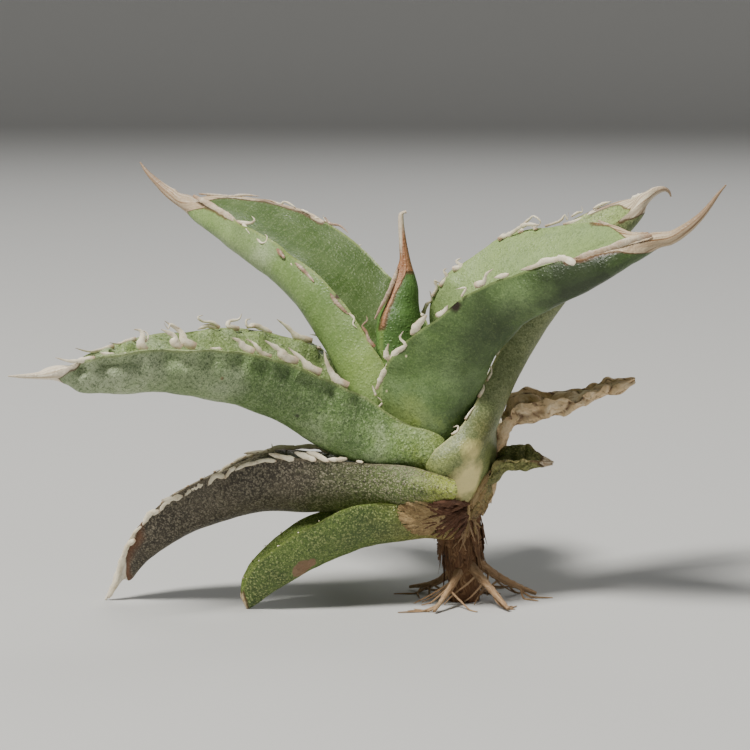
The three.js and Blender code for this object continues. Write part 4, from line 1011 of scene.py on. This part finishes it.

# %% [markdown]
# ## How each leaf looks
#
# All living leaves share that skin, with their own colours: the youngest are fresh green, the broad ones grey
# with bloom, the oldest bronzed, speckled or withered. On the right broad leaf the outer face is painted much
# darker than the inner, as painted shade on its underside. A few marks are placed one by one, such as a scar
# or the cream foot of a leaf, and two dark patches of painted shade on that underside: each lies round the
# place on the blade that the eye sees there.

# %% Looks of the living leaves
LOOKS = {
    "centre_bud_leaf": dict(
        outer="#587d3a", dark="#395725", grit="#33501f", inner="#628a40", bloom="#8ea874", bloom_share=0.2,
        speck="#7d9c55", speck_share=0.1, base="#7f9a45", base_reach=0.10, edge="#7d9448", rough=0.46,
        horn="#b58a68", horn_dark="#85512f", horn_tip="#d8c9b0", tip_from=6.0, tip_to=8.5, tip_share=0.9),
    "upper_left_leaf": dict(
        outer="#80995a", dark="#5d7a3f", grit="#546e34", inner="#3c5420", bloom="#a3b384", bloom_share=0.22,
        speck="#a9ba80", speck_share=0.08, base="#93ab50", base_reach=0.10, edge="#94a25a", rough=0.46,
        tip_from=8, tip_to=11, horn="#dccbad", horn_dark="#8d6e50", bump=0.28),
    # the right broad leaf's outer face is painted much darker than its inner face: painted shade on the
    # underside, which turns away from the light
    "right_broad_leaf": dict(
        outer="#5b7440", dark="#394e24", grit="#31451d", inner="#92a96a", bloom="#84976d", bloom_share=0.4,
        speck="#83975c", speck_share=0.08, base="#859b46", base_reach=0.12, edge="#8a9d5c", rough=0.44,
        tip_from=9, tip_to=16, horn="#d8c6a6", horn_dark="#80603f", bump=0.28),
    "left_broad_leaf": dict(
        outer="#759152", dark="#466030", grit="#3c5029", inner="#83965a", bloom="#aab594", bloom_share=0.7,
        speck="#b3bf97", speck_share=0.12, base="#8d9d48", base_reach=0.16, edge="#8f9c60", rough=0.52,
        tip_from=6, tip_to=12, tip_share=0.2, grain=0.85, pore=0.6, horn="#fbf2de", horn_dark="#cdb899"),
    "right_back_leaf": dict(
        outer="#7b8456", dark="#59653c", grit="#4c5832", inner="#93a864", bloom="#a8ad86", bloom_share=0.3,
        speck="#acb07d", speck_share=0.12, base="#858f50", base_reach=0.30, edge="#b0ae75", rough=0.46,
        heel="#c2b678", heel_reach=0.04, grain=0.9, bump=0.28),
    "back_leaf_right": dict(
        outer="#5d763c", dark="#42592a", grit="#374c23", inner="#4f6a2e", bloom="#a6b383", bloom_share=0.4,
        speck="#a0b176", speck_share=0.12, base="#96a750", base_reach=0.16, edge="#90a058", rough=0.48),
    "back_leaf_left": dict(
        outer="#6a7c48", dark="#4b5d33", grit="#40522c", inner="#889d59", bloom="#b0b894", bloom_share=0.6,
        speck="#adb688", speck_share=0.12, base="#9ca956", base_reach=0.16, edge="#95a25c", rough=0.5),
    "grey_drooping_leaf": dict(
        outer="#4e473a", dark="#2c261d", grit="#231d16", inner="#5f5941", bloom="#8e8570", bloom_share=0.35,
        speck="#b3a991", speck_share=0.4, base="#5f7138", base_reach=0.42, heel="#a0ab4a", heel_reach=0.13,
        edge="#6e6250", rough=0.56, grain=0.85, pore=0.42, cover=0.36, bump=0.6, end="#6f4930", end_reach=2.2,
        tip_share=0.0, horn="#f1eadb", horn_dark="#d5c9b0"),
    "lowest_green_leaf": dict(
        outer="#5b7331", dark="#37491f", grit="#2c3e19", inner="#6b8238", bloom="#86984f", bloom_share=0.25,
        speck="#b9c17c", speck_share=0.5, base="#85813f", base_reach=0.32, heel="#a58657", heel_reach=0.18,
        edge="#7f8f42", rough=0.44, grain=0.8, pore=0.45, cover=0.32, bump=0.6, tip_share=0.0,
        horn="#ddcdaa", horn_dark="#a98a5c"),
    "small_withered_leaf": dict(
        outer="#8b8e50", dark="#50552b", grit="#353b1c", inner="#5d642e", bloom="#a5a46c", bloom_share=0.5,
        speck="#b5ac74", speck_share=0.3, base="#a58a55", base_reach=0.45, heel="#75543a", heel_reach=0.2,
        edge="#a59563", rough=0.6, grain=0.8, bump=0.7, tip_share=0.0, horn="#e6dac0", horn_dark="#8b6f50"),
}
print("living leaves:", len(LOOKS))

# %% Marks on the skin, and patches of painted shade: across, up, radius in mm, colour, solid core share, strength
SPOTS = {
    "right_broad_leaf": [
        (14.2, 10.5, 1.5, "#24150d", 0.5, 0.97), (-0.5, -1.8, 0.35, "#c5c09a", 0.5, 0.9),
        # the dark green patches at (34, 17) and (20, 7.5) are painted shade on the underside, which turns
        # away from the light
        (6.0, 2.4, 0.3, "#c5c09a", 0.5, 0.9), (34, 17.0, 11.0, "#222d17", 0.3, 0.85),
        (20, 7.5, 9.0, "#26341a", 0.2, 0.7), (5.5, -8.5, 6.5, "#9dab5e", 0.1, 0.5),
    ],
    "left_broad_leaf": [
        (-11.3, -7.4, 0.5, "#39402a", 0.5, 0.9), (-24.0, -0.8, 0.4, "#8d6a4c", 0.5, 0.8),
        (10.0, -11.0, 9.0, "#7f9440", 0.2, 0.6), (-43.0, 0.5, 12.0, "#bcc6a4", 0.2, 0.75),
        (-29.0, 0.5, 11.0, "#adba92", 0.1, 0.6), (-24.0, -3.5, 4.5, "#b4bda2", 0.1, 0.5),
    ],
    "lowest_green_leaf": [
        (-11.6, -33.8, 1.5, "#8d6f54", 0.85, 0.95), (-10.0, -32.9, 1.4, "#84674b", 0.85, 0.95),
        (-8.6, -32.0, 1.0, "#8d6f54", 0.8, 0.95),
    ],
    "upper_left_leaf": [
        (-5.8, 13.2, 0.7, "#3f2b1c", 0.6, 0.95), (-18.5, 19.5, 3.5, "#c2ccaa", 0.2, 0.5),
        (-1.0, 1.0, 8.0, "#a0b760", 0.1, 0.5), (-22.0, 23.5, 8.0, "#a3b283", 0.1, 0.4),
    ],
    "right_back_leaf": [
        (20.5, -9.0, 4.0, "#6f6840", 0.2, 0.7), (18.6, -13.4, 2.6, "#dccf88", 0.2, 0.9),
        (17.2, -18.4, 4.3, "#f0e19c", 0.5, 1.0),
    ],
    "grey_drooping_leaf": [(12.5, -19.0, 6.0, "#a9b34c", 0.2, 0.8)],
}
print("marks:", sum(len(marks) for marks in SPOTS.values()))

# %% Skins on the living leaves
CLOSE_MM = 1.2
WIDE_MM = 4


def in_front(facts, across, up):
    """The place on the blade, in metres, that is seen at this point."""
    points = points_of(facts["piece"].data) / MM
    eye = seen(points)
    away = (eye[:, 0] - across) ** 2 + (eye[:, 2] - up) ** 2
    near = away < CLOSE_MM**2
    if not near.any():
        near = away < WIDE_MM**2
    found = np.where(near)[0]
    return tuple(points[found[np.argmin(eye[found, 1])]] * MM)


for leaf, look in LOOKS.items():
    facts = blades[leaf]
    spots = [(in_front(facts, *mark[:2]), *mark[2:]) for mark in SPOTS.get(leaf, [])]
    skin = leaf_skin(leaf + "_skin", look, facts["end"], spots)
    settle(facts["piece"], skin, node=leaf)

# %% [markdown]
# ## Horn and dry tissue
#
# The teeth and strips are horn: dead, hard leaf tissue, ivory with a pinkish brown foot and a darker tip,
# dull with fine ridges; roughness a half, IOR 1.54. The brown of the foot is partly the horn's own and partly
# painted shade where the tooth meets the leaf. Old leaf bases, the dead leaf, the stem's skin and the roots
# are dry tissue too, so one finish with other colours serves them all: streaks along the piece, dark in the
# cracks, roughness about 0.8 and hardly any gloss.

# %% Horn
def horn_finish(name):
    """Ivory horn with a brown foot, partly painted shade where it meets the leaf; pieces noted as brown are
    brown all over.
    """
    made, tree, here, height, brown = blank(name, ("height", "brown"))
    blotch = add(tree, "ShaderNodeTexNoise", {"Vector": here, "Scale": per_metre(1.4), "Detail": 3.0})
    ridge = add(tree, "ShaderNodeTexNoise", {"Vector": here, "Scale": per_metre(0.3), "Detail": 2.0})
    brown_blotch = add(tree, "ShaderNodeMath", {0: brown, 1: blotch}, operation="MULTIPLY")
    brown_ridge = add(tree, "ShaderNodeMath", {0: brown, 1: ridge}, operation="MULTIPLY")
    shade = washes(tree, "#efe5cb", [
        ("#c8b48f", blotch, 0.45, 0.7, 0.7),
        ("#a5815f", ridge, 0.55, 0.75, 0.35),
        # the foot's brown, partly the horn's own and partly painted shade where the tooth meets the leaf
        ("#94623f", height, 0.16, 0.0, 0.6),
        ("#8f7860", height, 0.75, 1.0, 0.5),
        ("#8b5a3c", brown_blotch, 0.0, 1.0, 1.0),
        ("#6a3f28", brown_ridge, 0.0, 1.0, 1.0),
    ])
    end_material(tree, shade, 0.5, 1.54, ridge, 0.4, 0.1)
    return made


HORN = horn_finish("agave_horn")
print("horn nodes:", len(HORN.node_tree.nodes))


# %% Dry tissue
def dry_finish(name, pale, middle, dark, streak_mm, dark_share):
    """Dry plant tissue: streaks along the piece and dark cracks between them, with painted shade in the
    hollows of any folds.
    """
    made, tree, here, run, around, crease = blank(name, ("run", "around", "crease"))
    wander = add(tree, "ShaderNodeTexNoise", {"Vector": here, "Scale": per_metre(4), "Detail": 3.0})
    along = add(tree, "ShaderNodeMath", {0: run, 1: 0.22}, operation="MULTIPLY")
    bent = add(tree, "ShaderNodeMath", {0: wander, 1: 2.2, 2: around}, operation="MULTIPLY_ADD")
    turn = add(tree, "ShaderNodeMath", {0: bent, 1: 3.2 / streak_mm}, operation="MULTIPLY")
    lie = add(tree, "ShaderNodeCombineXYZ", {0: along, 1: turn})
    feeds = {"Vector": lie, "Scale": 1.0, "Detail": 5.0, "Roughness": 0.6}
    streak = add(tree, "ShaderNodeTexNoise", feeds)
    crumb = add(tree, "ShaderNodeTexNoise", {"Vector": here, "Scale": per_metre(0.7), "Detail": 4.0})
    shade = washes(tree, middle, [
        (pale, streak, 0.5, 0.68, 1.0),
        (dark, streak, 0.44, 0.34, dark_share),
        (dark, crumb, 0.58, 0.75, 0.6),
        (pale, wander, 0.55, 0.75, 0.4),
        # painted shade in the hollows of the folds, on the dead leaf only
        (dark, crease, 0.35, 0.8, 0.9),
    ])
    height = add(tree, "ShaderNodeMath", {0: crumb, 1: 0.7, 2: streak}, operation="MULTIPLY_ADD")
    end_material(tree, shade, 0.78, 1.4, height, 0.8, 0.5)
    return made


DRY_LEAF = dry_finish("dry_leaf_tissue", "#fbe9c8", "#e0c398", "#5a3c28", 1.0, 0.75)
STEM_BARK = dry_finish("stem_bark", "#b39069", "#76543a", "#2f1d15", 0.6, 0.9)
ROOT_SKIN = dry_finish("root_skin", "#d8bd98", "#b2906c", "#6d4c35", 0.8, 0.6)
settle(blades["dry_brown_leaf"]["piece"], DRY_LEAF, node="dry_brown_leaf")

# %% [markdown]
# ## Teeth
#
# A tooth is a copy of the short bar, bent along its own line; a strip takes the long bar. Its foot is at
# the margin's own depth, and on hidden margins a little sunk in, so from every side it grows out of the
# leaf. Its width follows its habit: a hook is broad at the foot and fine at the tip, a pressed scale is
# broad along its length.

# %% Habits of teeth: widths from foot to tip, thickness, how brown
HABITS = {
    "hook": ([0.62, 0.80, 0.66, 0.46, 0.32, 0.22, 0.06], 0.5, 0),
    "brownhook": ([0.6, 0.75, 0.6, 0.45, 0.32, 0.22, 0.06], 0.5, 1),
    "flat": ([0.35, 0.75, 0.9, 0.85, 0.75, 0.5, 0.15], 0.45, 0),
    "thin": ([0.75, 0.75, 0.62, 0.55, 0.45, 0.34, 0.10], 0.8, 0),
    "strip": ([0.45, 0.8, 0.9, 0.75, 0.9, 0.7, 0.2], 0.35, 0),
    "brown": ([0.3, 0.7, 0.9, 0.8, 0.7, 0.6, 0.2], 0.35, 1),
    "tan": ([0.45, 0.8, 0.9, 0.75, 0.9, 0.7, 0.2], 0.35, 0.5),
}
LONG_HABITS = ("strip", "brown", "tan")
print("habits:", ", ".join(HABITS))


# %% Bending a bar
def bend(source, name, path, widths, depth, normal, ragged=0.0, seed=0.0):
    """A copy of a bar along a path in the frame's mm, this wide, and depth times as thick."""
    made = copy_of(source, name)
    stock = points_of(made.data)
    heights, row = np.unique(stock[:, 2].round(5), return_inverse=True)
    centre = spline(path, heights)
    ahead = unit(np.gradient(centre, axis=0))
    side = unit(np.cross(np.array(normal, float), ahead))
    up = np.cross(ahead, side)
    half = np.interp(heights, np.linspace(0, 1, len(widths)), widths) / 2
    if ragged:
        waves = 9 if len(heights) < 20 else 24
        half *= np.array([1 + ragged * noise.noise(Vector((h * waves, seed, 3.1))) for h in heights])
    points = centre[row] + (side[row] * stock[:, :1] + up[row] * stock[:, 1:2] * depth) * half[row, None]
    lay_points(made, points)
    note(made.data, "height", stock[:, 2])
    run = np.concatenate([[0], np.cumsum(np.linalg.norm(np.diff(centre, axis=0), axis=1))])
    note(made.data, "run", run[row])
    note(made.data, "around", stock[:, 0] + (stock[:, 1] < 0) * 2.5)
    return made


def join(pieces, name):
    """Joins the pieces into the first."""
    bpy.ops.object.select_all(action="DESELECT")
    for piece in pieces:
        piece.select_set(True)
    bpy.context.view_layer.objects.active = pieces[0]
    if len(pieces) > 1:
        bpy.ops.object.join()
    pieces[0].name = pieces[0].data.name = name
    return pieces[0]


print("a tooth has", len(TOOTH_BAR.data.polygons), "faces")

# %% A tooth that is known from the front
LIFT = 0.15
PRESSED = ("grey_drooping_leaf",)
PRESSED_WIDER = 1.15
SKIN_WITHIN = 0.45


def skin_depth(eye, across, up, otherwise):
    """The depth of the foremost of these points as seen at this place."""
    near = (eye[:, 0] - across) ** 2 + (eye[:, 2] - up) ** 2 < SKIN_WITHIN**2
    return min(eye[near, 1].min(), otherwise) if near.any() else otherwise


def seen_tooth(leaf, facts, margin, kind, width, line, index):
    """A tooth that is known from the front, on the depth of its margin."""
    rail = seen(facts[margin])
    eye = seen(points_of(facts["piece"].data) / MM)
    path = []
    for across, up in line:
        depth = rail[on_rail(facts, margin, across, up), 1]
        if leaf in PRESSED and margin == "near":
            depth = skin_depth(eye, across, up, depth)
        path.append((across, depth - LIFT, up))
    if leaf in PRESSED:
        width *= PRESSED_WIDER
        path = [2 * np.array(path[0]) - path[1]] + path + [2 * np.array(path[-1]) - path[-2]]
        path[0], path[-1] = (path[0] + path[1]) / 2, (path[-1] + path[-2]) / 2
    shape, depth, brown = HABITS[kind]
    source = LONG_BAR if kind in LONG_HABITS else TOOTH_BAR
    made = bend(
        source, f"{leaf}_tooth_{index}", place(path), np.array(shape) * width, depth, EYE_AHEAD,
        ragged=0.5, seed=index * 1.7,
    )
    note(made.data, "brown", np.full(len(made.data.vertices), brown))
    return made


print("teeth pressed to the skin:", ", ".join(PRESSED))

# %% A tooth that the front view hides
SUNK = 0.4


def hidden_tooth(leaf, facts, margin, at, size, index, draw):
    """A hooked tooth on a margin that the front view hides."""
    ring = int(np.searchsorted(facts["run"], at * facts["end"]))
    rail = facts[margin]
    out = unit(rail[ring] - facts["middle"][ring])
    along = unit(rail[ring + 1] - rail[ring - 1])
    length = size * draw.uniform(0.7, 1.15)
    lean = draw.choice([-1, 1, 1]) * draw.uniform(0.3, 0.8)
    foot = rail[ring] - out * SUNK
    path = [
        foot,
        foot + out * length * 0.55 + along * lean * length * 0.1,
        foot + out * length * 0.95 + along * lean * length * 0.45,
        foot + out * length * 1.05 + along * lean * length * 0.95,
    ]
    shape, depth, brown = HABITS["hook"]
    made = bend(
        TOOTH_BAR, f"{leaf}_hidden_{margin}_{index}", path, np.array(shape) * length * 0.6, depth,
        np.cross(out, along), ragged=0.5, seed=index * 2.3,
    )
    note(made.data, "brown", np.full(len(made.data.vertices), brown))
    return made


print("hidden teeth are sunk by", SUNK, "mm")

# %% Teeth on every leaf
SEED = 11
draw = random.Random(SEED)
for leaf, facts in blades.items():
    made = [
        seen_tooth(leaf, facts, *row, index) for index, row in enumerate(TEETH.get(leaf, []))
    ]
    for name, margin, start, stop, count, size in HIDDEN_ROWS:
        if name == leaf:
            for index, at in enumerate(np.linspace(start, stop, count)):
                made.append(hidden_tooth(leaf, facts, margin, at, size, index, draw))
    if made:
        settle(join(made, leaf + "_teeth"), HORN)

# %% [markdown]
# ## Stem
#
# Below the leaves the stem is a thumb of wood. It could be a lathed post, but the real one leans and
# swells, so it is the finest bar laid along a bent line with a width at each point, and its skin is
# roughened by noise that is stretched upwards, as bark is.

# %% Stem: across, depth, up and radius in mm
STEM = [
    (10.2, 0.4, -9.5, 1.8), (12.6, 0.5, -15, 3.4), (14.6, 0, -20.5, 4.0), (15.2, 0, -25, 3.6),
    (15.7, 0.3, -30, 2.9), (16, 0.6, -35.5, 2.6), (16, 0.6, -40, 2.5),
]
BARK_DEPTH = 0.35
BARK_WIDE = 1.1
BARK_TALL = 4
BARK_FINE = 0.9
stem_line = place([row[:3] for row in STEM])
stem = bend(LEAF_BAR, "stem_bark", stem_line, [2 * row[3] for row in STEM], 1.0, (0, -1, 0))
points = points_of(stem.data) / MM
bark = [
    noise.noise(Vector((p[0] / BARK_WIDE, p[1] / BARK_WIDE, p[2] / BARK_TALL)))
    + 0.5 * noise.noise(Vector(p) / BARK_FINE)
    for p in points
]
axis = spline(stem_line, (points[:, 2].max() - points[:, 2]) / np.ptp(points[:, 2]))
away = unit((points - axis) * [1, 1, 0])
points += away * (BARK_DEPTH * np.array(bark))[:, None]
points[:, 2] = np.maximum(points[:, 2], 0)
lay_points(stem, points)
settle(stem, STEM_BARK, node="stem")

# %% [markdown]
# ## Roots
#
# The roots are wiry bars that bend down to the floor and lie on it, with fine hairs off them. The end of
# each root is given without a height: the height at which it just lies on the floor is found by halving.
# The hairs start anywhere on a root, run out in any direction and sink to the floor.

# %% Roots: across, depth, up (none where it lies on the floor) and radius in mm
ROOTS = {
    "root_front_right": [(16.4, -0.6, -31, 0.95), (19.8, -5.2, -34.9, 0.8), (23.4, -10, None, 0.65)],
    "root_right": [(16.8, 1, -30, 1), (22.2, 1.8, -33.9, 0.8), (28, 3.4, None, 0.65)],
    "root_back": [(16, 1.6, -31.5, 0.95), (17.4, 7.6, -33.9, 0.8), (19, 13.6, None, 0.6)],
    "root_back_left": [(15.4, 1.4, -31.5, 0.85), (11.4, 5.6, -34.5, 0.7), (7, 10, None, 0.55)],
    "root_front": [(15.6, -0.6, -32, 0.85), (13.6, -6, -35.7, 0.7), (11, -11.6, None, 0.55)],
}
HAIRS_PER_ROOT = 7
HAIR_WIDTHS = [0.4, 0.34, 0.28, 0.16]
HAIR_ON_FLOOR = 0.18
ABOVE_FLOOR = 0.02
ROOT_UP = (0.1, 0.2, 1)


def floor_up(depth, radius):
    """How high, as the eye sees it, a root's centre is when it lies on the floor."""
    low, high = -60.0, 0.0
    for _ in range(40):
        middle = (low + high) / 2
        low, high = (middle, high) if place([0, depth, middle])[0][2] < radius else (low, middle)
    return high


print("a root's end lies at", round(floor_up(0, 0.6), 2), "mm as seen")


# %% Hairs of a root
def root_hair(name, path):
    """A fine hair from somewhere on a root, out and down to the floor."""
    start = spline(path, [draw.uniform(0.25, 0.95)])[0]
    reach = draw.uniform(3, 7)
    heading = draw.uniform(0, 2 * math.pi)
    step = np.array([math.cos(heading), math.sin(heading), 0])
    sideways = np.array([-step[1], step[0], 0]) * draw.uniform(-0.5, 0.5)
    line = np.array([
        start, start + step * reach * 0.4 + [0, 0, -0.8], start + step * reach * 0.7 + sideways * 2,
        start + step * reach + sideways * 4,
    ])
    line[1:, 2] = np.maximum(line[1:, 2] - [1, 3, 5], HAIR_ON_FLOOR)
    return bend(TOOTH_BAR, name, line, HAIR_WIDTHS, 1.0, ROOT_UP)


print("hairs in all:", HAIRS_PER_ROOT * len(ROOTS))

# %% Roots with their hairs
for name, rows in ROOTS.items():
    path = place([(a, d, floor_up(d, r * 0.85) if u is None else u) for a, d, u, r in rows])
    radii = [row[3] for row in rows]
    widths = [2.2 * radii[0], 2 * radii[1], 1.7 * radii[1], 1.6 * radii[2], 0.9 * radii[2]]
    parts = [
        bend(LONG_BAR, name + "_bar", path, widths, 1.0, ROOT_UP, ragged=0.35, seed=len(name))
    ]
    parts += [root_hair(f"{name}_hair_{index}", path) for index in range(HAIRS_PER_ROOT)]
    for part in parts:
        points = points_of(part.data)
        points[:, 2] = np.maximum(points[:, 2], ABOVE_FLOOR * MM)
        lay_points(part, points / MM)
    settle(join(parts, name + "_skin"), ROOT_SKIN, node=name)

# %% [markdown]
# ## Torn leaf bases round the stem
#
# The stem is ringed by the torn bases of leaves that are gone: ribbons of dry fibre pressed to it, with
# finer fibres between them, all frayed and standing off at their lower ends. Hair would make them
# too, but as bent bars they stay few, solid and light. Every third one is a broad ribbon.

# %% Fibres round the stem
FIBRES = 46
FIBRE_SHAPE = np.array([0.7, 1.0, 0.9, 0.6, 0.15])
FIBRE_LOWEST = 0.3


def around_stem(angle, up, out):
    """A place beside the stem: angle round it, height as seen, and mm off its skin."""
    across, depth, ups, radius = np.array(STEM)[::-1].T
    off = np.interp(up, ups, radius) + out
    return (
        np.interp(up, ups, across) + off * math.sin(angle),
        np.interp(up, ups, depth) - off * math.cos(angle), up,
    )


fibres = []
for index in range(FIBRES):
    broad = index % 3 == 0
    angle = 2 * math.pi * index / FIBRES + draw.uniform(-0.1, 0.1)
    top = draw.uniform(-27, -22.5)
    length = draw.uniform(4, 8) if broad else draw.uniform(5, 11)
    flare = draw.uniform(0.2, 1.6)
    turn = draw.uniform(-0.35, 0.35)
    path = place([
        around_stem(angle, top, -0.3),
        around_stem(angle + turn * 0.3, top - length * 0.35, 0.25),
        around_stem(angle + turn * 0.7, top - length * 0.7, 0.3 + flare * 0.4),
        around_stem(angle + turn, top - length, 0.3 + flare),
    ])
    path[:, 2] = np.maximum(path[:, 2], FIBRE_LOWEST)
    width = draw.uniform(1.6, 3.0) if broad else draw.uniform(0.3, 0.7)
    source, depth = (LONG_BAR, 0.18) if broad else (TOOTH_BAR, 0.6)
    outward = (math.sin(angle), -math.cos(angle), 0.1)
    fibres.append(bend(
        source, f"fibre_{index}", path, FIBRE_SHAPE * width, depth, outward, ragged=0.9, seed=index * 0.77,
    ))
settle(join(fibres, "torn_leaf_bases"), STEM_BARK)

# %% [markdown]
# ## Torn sheath over the lowest feet
#
# Over the feet of the lowest leaves hangs what older leaves left: straw-coloured ribbons, brown fibres
# that fray out from a knot beside the stem, and a few pale rootlets below it. Cloth or hair could make
# them, but they are few and flat, so each is a bent bar again. Its line is drawn between two places as
# the eye sees them and is then laid on the foremost skin there.

# %% A line over the feet of the lowest leaves
SHEATH = dry_finish("torn_sheath", "#dcc596", "#b49768", "#5a3a2c", 0.6, 0.8)
FRAYED = dry_finish("frayed_fibre", "#b08a6c", "#714b38", "#2b1712", 0.5, 0.9)
FEET = ("lowest_green_leaf_blade", "grey_drooping_leaf_blade", "right_back_leaf_blade", "stem_bark")
DEPTH_IF_BARE = -6.0
STEPS = np.linspace(0, 1, 7)
feet_points = np.vstack([seen(points_of(bpy.data.objects[name].data) / MM) for name in FEET])
print("points to lie on:", len(feet_points))


def over_skin(start, stop, bow, lift):
    """A line in front of the feet between two places as seen, bowed sideways, lifted at its end."""
    start, stop = np.array(start), np.array(stop)
    aside = np.array([start[1] - stop[1], stop[0] - start[0]])
    flat = [start + (stop - start) * t + aside * bow * math.sin(math.pi * t) for t in STEPS]
    depths = [skin_depth(feet_points, across, up, 0) for across, up in flat]
    known = [depth for depth in depths if depth < 0] or [DEPTH_IF_BARE]
    depths = np.array([depth if depth < 0 else known[-1] for depth in depths])
    depths[1:-1] = np.minimum(depths[1:-1], (depths[:-2] + depths[2:]) / 2)
    return place([(a, d - LIFT - lift * t, u) for (a, u), d, t in zip(flat, depths, STEPS)])


# %% Ribbons and fibres: name, finish, how many, start, places they run to, widths, thickness, lift
STRANDS = [
    ("sheath_ribbons", SHEATH, 22, (12.6, -23.8),
     [(8, -21), (5, -22), (5.4, -24.4), (7.4, -26.4), (10.4, -26.8)], (0.6, 1.6), 0.2, 0.5),
    ("sheath_fibres", FRAYED, 26, (16.6, -22.4),
     [(11, -21.2), (8.6, -22.6), (8.8, -24.8), (10.8, -26.8), (14.2, -27.6)], (0.3, 0.8), 0.5, 0.6),
    ("sheath_frills", FRAYED, 9, (16.8, -22.2),
     [(10.4, -21.2), (9.8, -22), (11.4, -23), (13.4, -24.4)], (0.7, 1.5), 0.2, 0.5),
    ("stalk_fibres", SHEATH, 9, (17.6, -22.6),
     [(20.6, -15.4), (20, -17.6), (19.4, -21), (18.6, -26), (15.6, -28.6)], (0.4, 1.1), 0.4, 0.3),
    ("pale_rootlets", ROOT_SKIN, 6, (16.4, -24.6),
     [(13.6, -28.6), (15, -29.4), (17.4, -29), (19, -27.8)], (0.3, 0.5), 1.0, 1.0),
]
STRAND_SHAPE = np.array([0.6, 1.0, 0.9, 0.8, 0.25])

for name, finish, count, start, fan, widths, depth, lift in STRANDS:
    made = []
    for index in range(count):
        begin = (start[0] + draw.uniform(-0.9, 0.9), start[1] + draw.uniform(-1.2, 1.2))
        stop = spline(fan, [(index + draw.uniform(0.1, 0.9)) / count])[0]
        path = over_skin(begin, stop, draw.uniform(-0.12, 0.12), draw.uniform(0, lift))
        shape = STRAND_SHAPE * draw.uniform(*widths)
        made.append(bend(
            LONG_BAR, f"{name}_{index}", path, shape, depth, EYE_AHEAD, ragged=0.8, seed=index * 0.61,
        ))
    settle(join(made, name), finish)

# %% [markdown]
# ## The end
#
# The bars have served and are removed. Horn and fibres may stand a few millimetres proud, but no more.

# %% Removing the bars
for stock in BARS:
    bpy.data.objects.remove(stock)
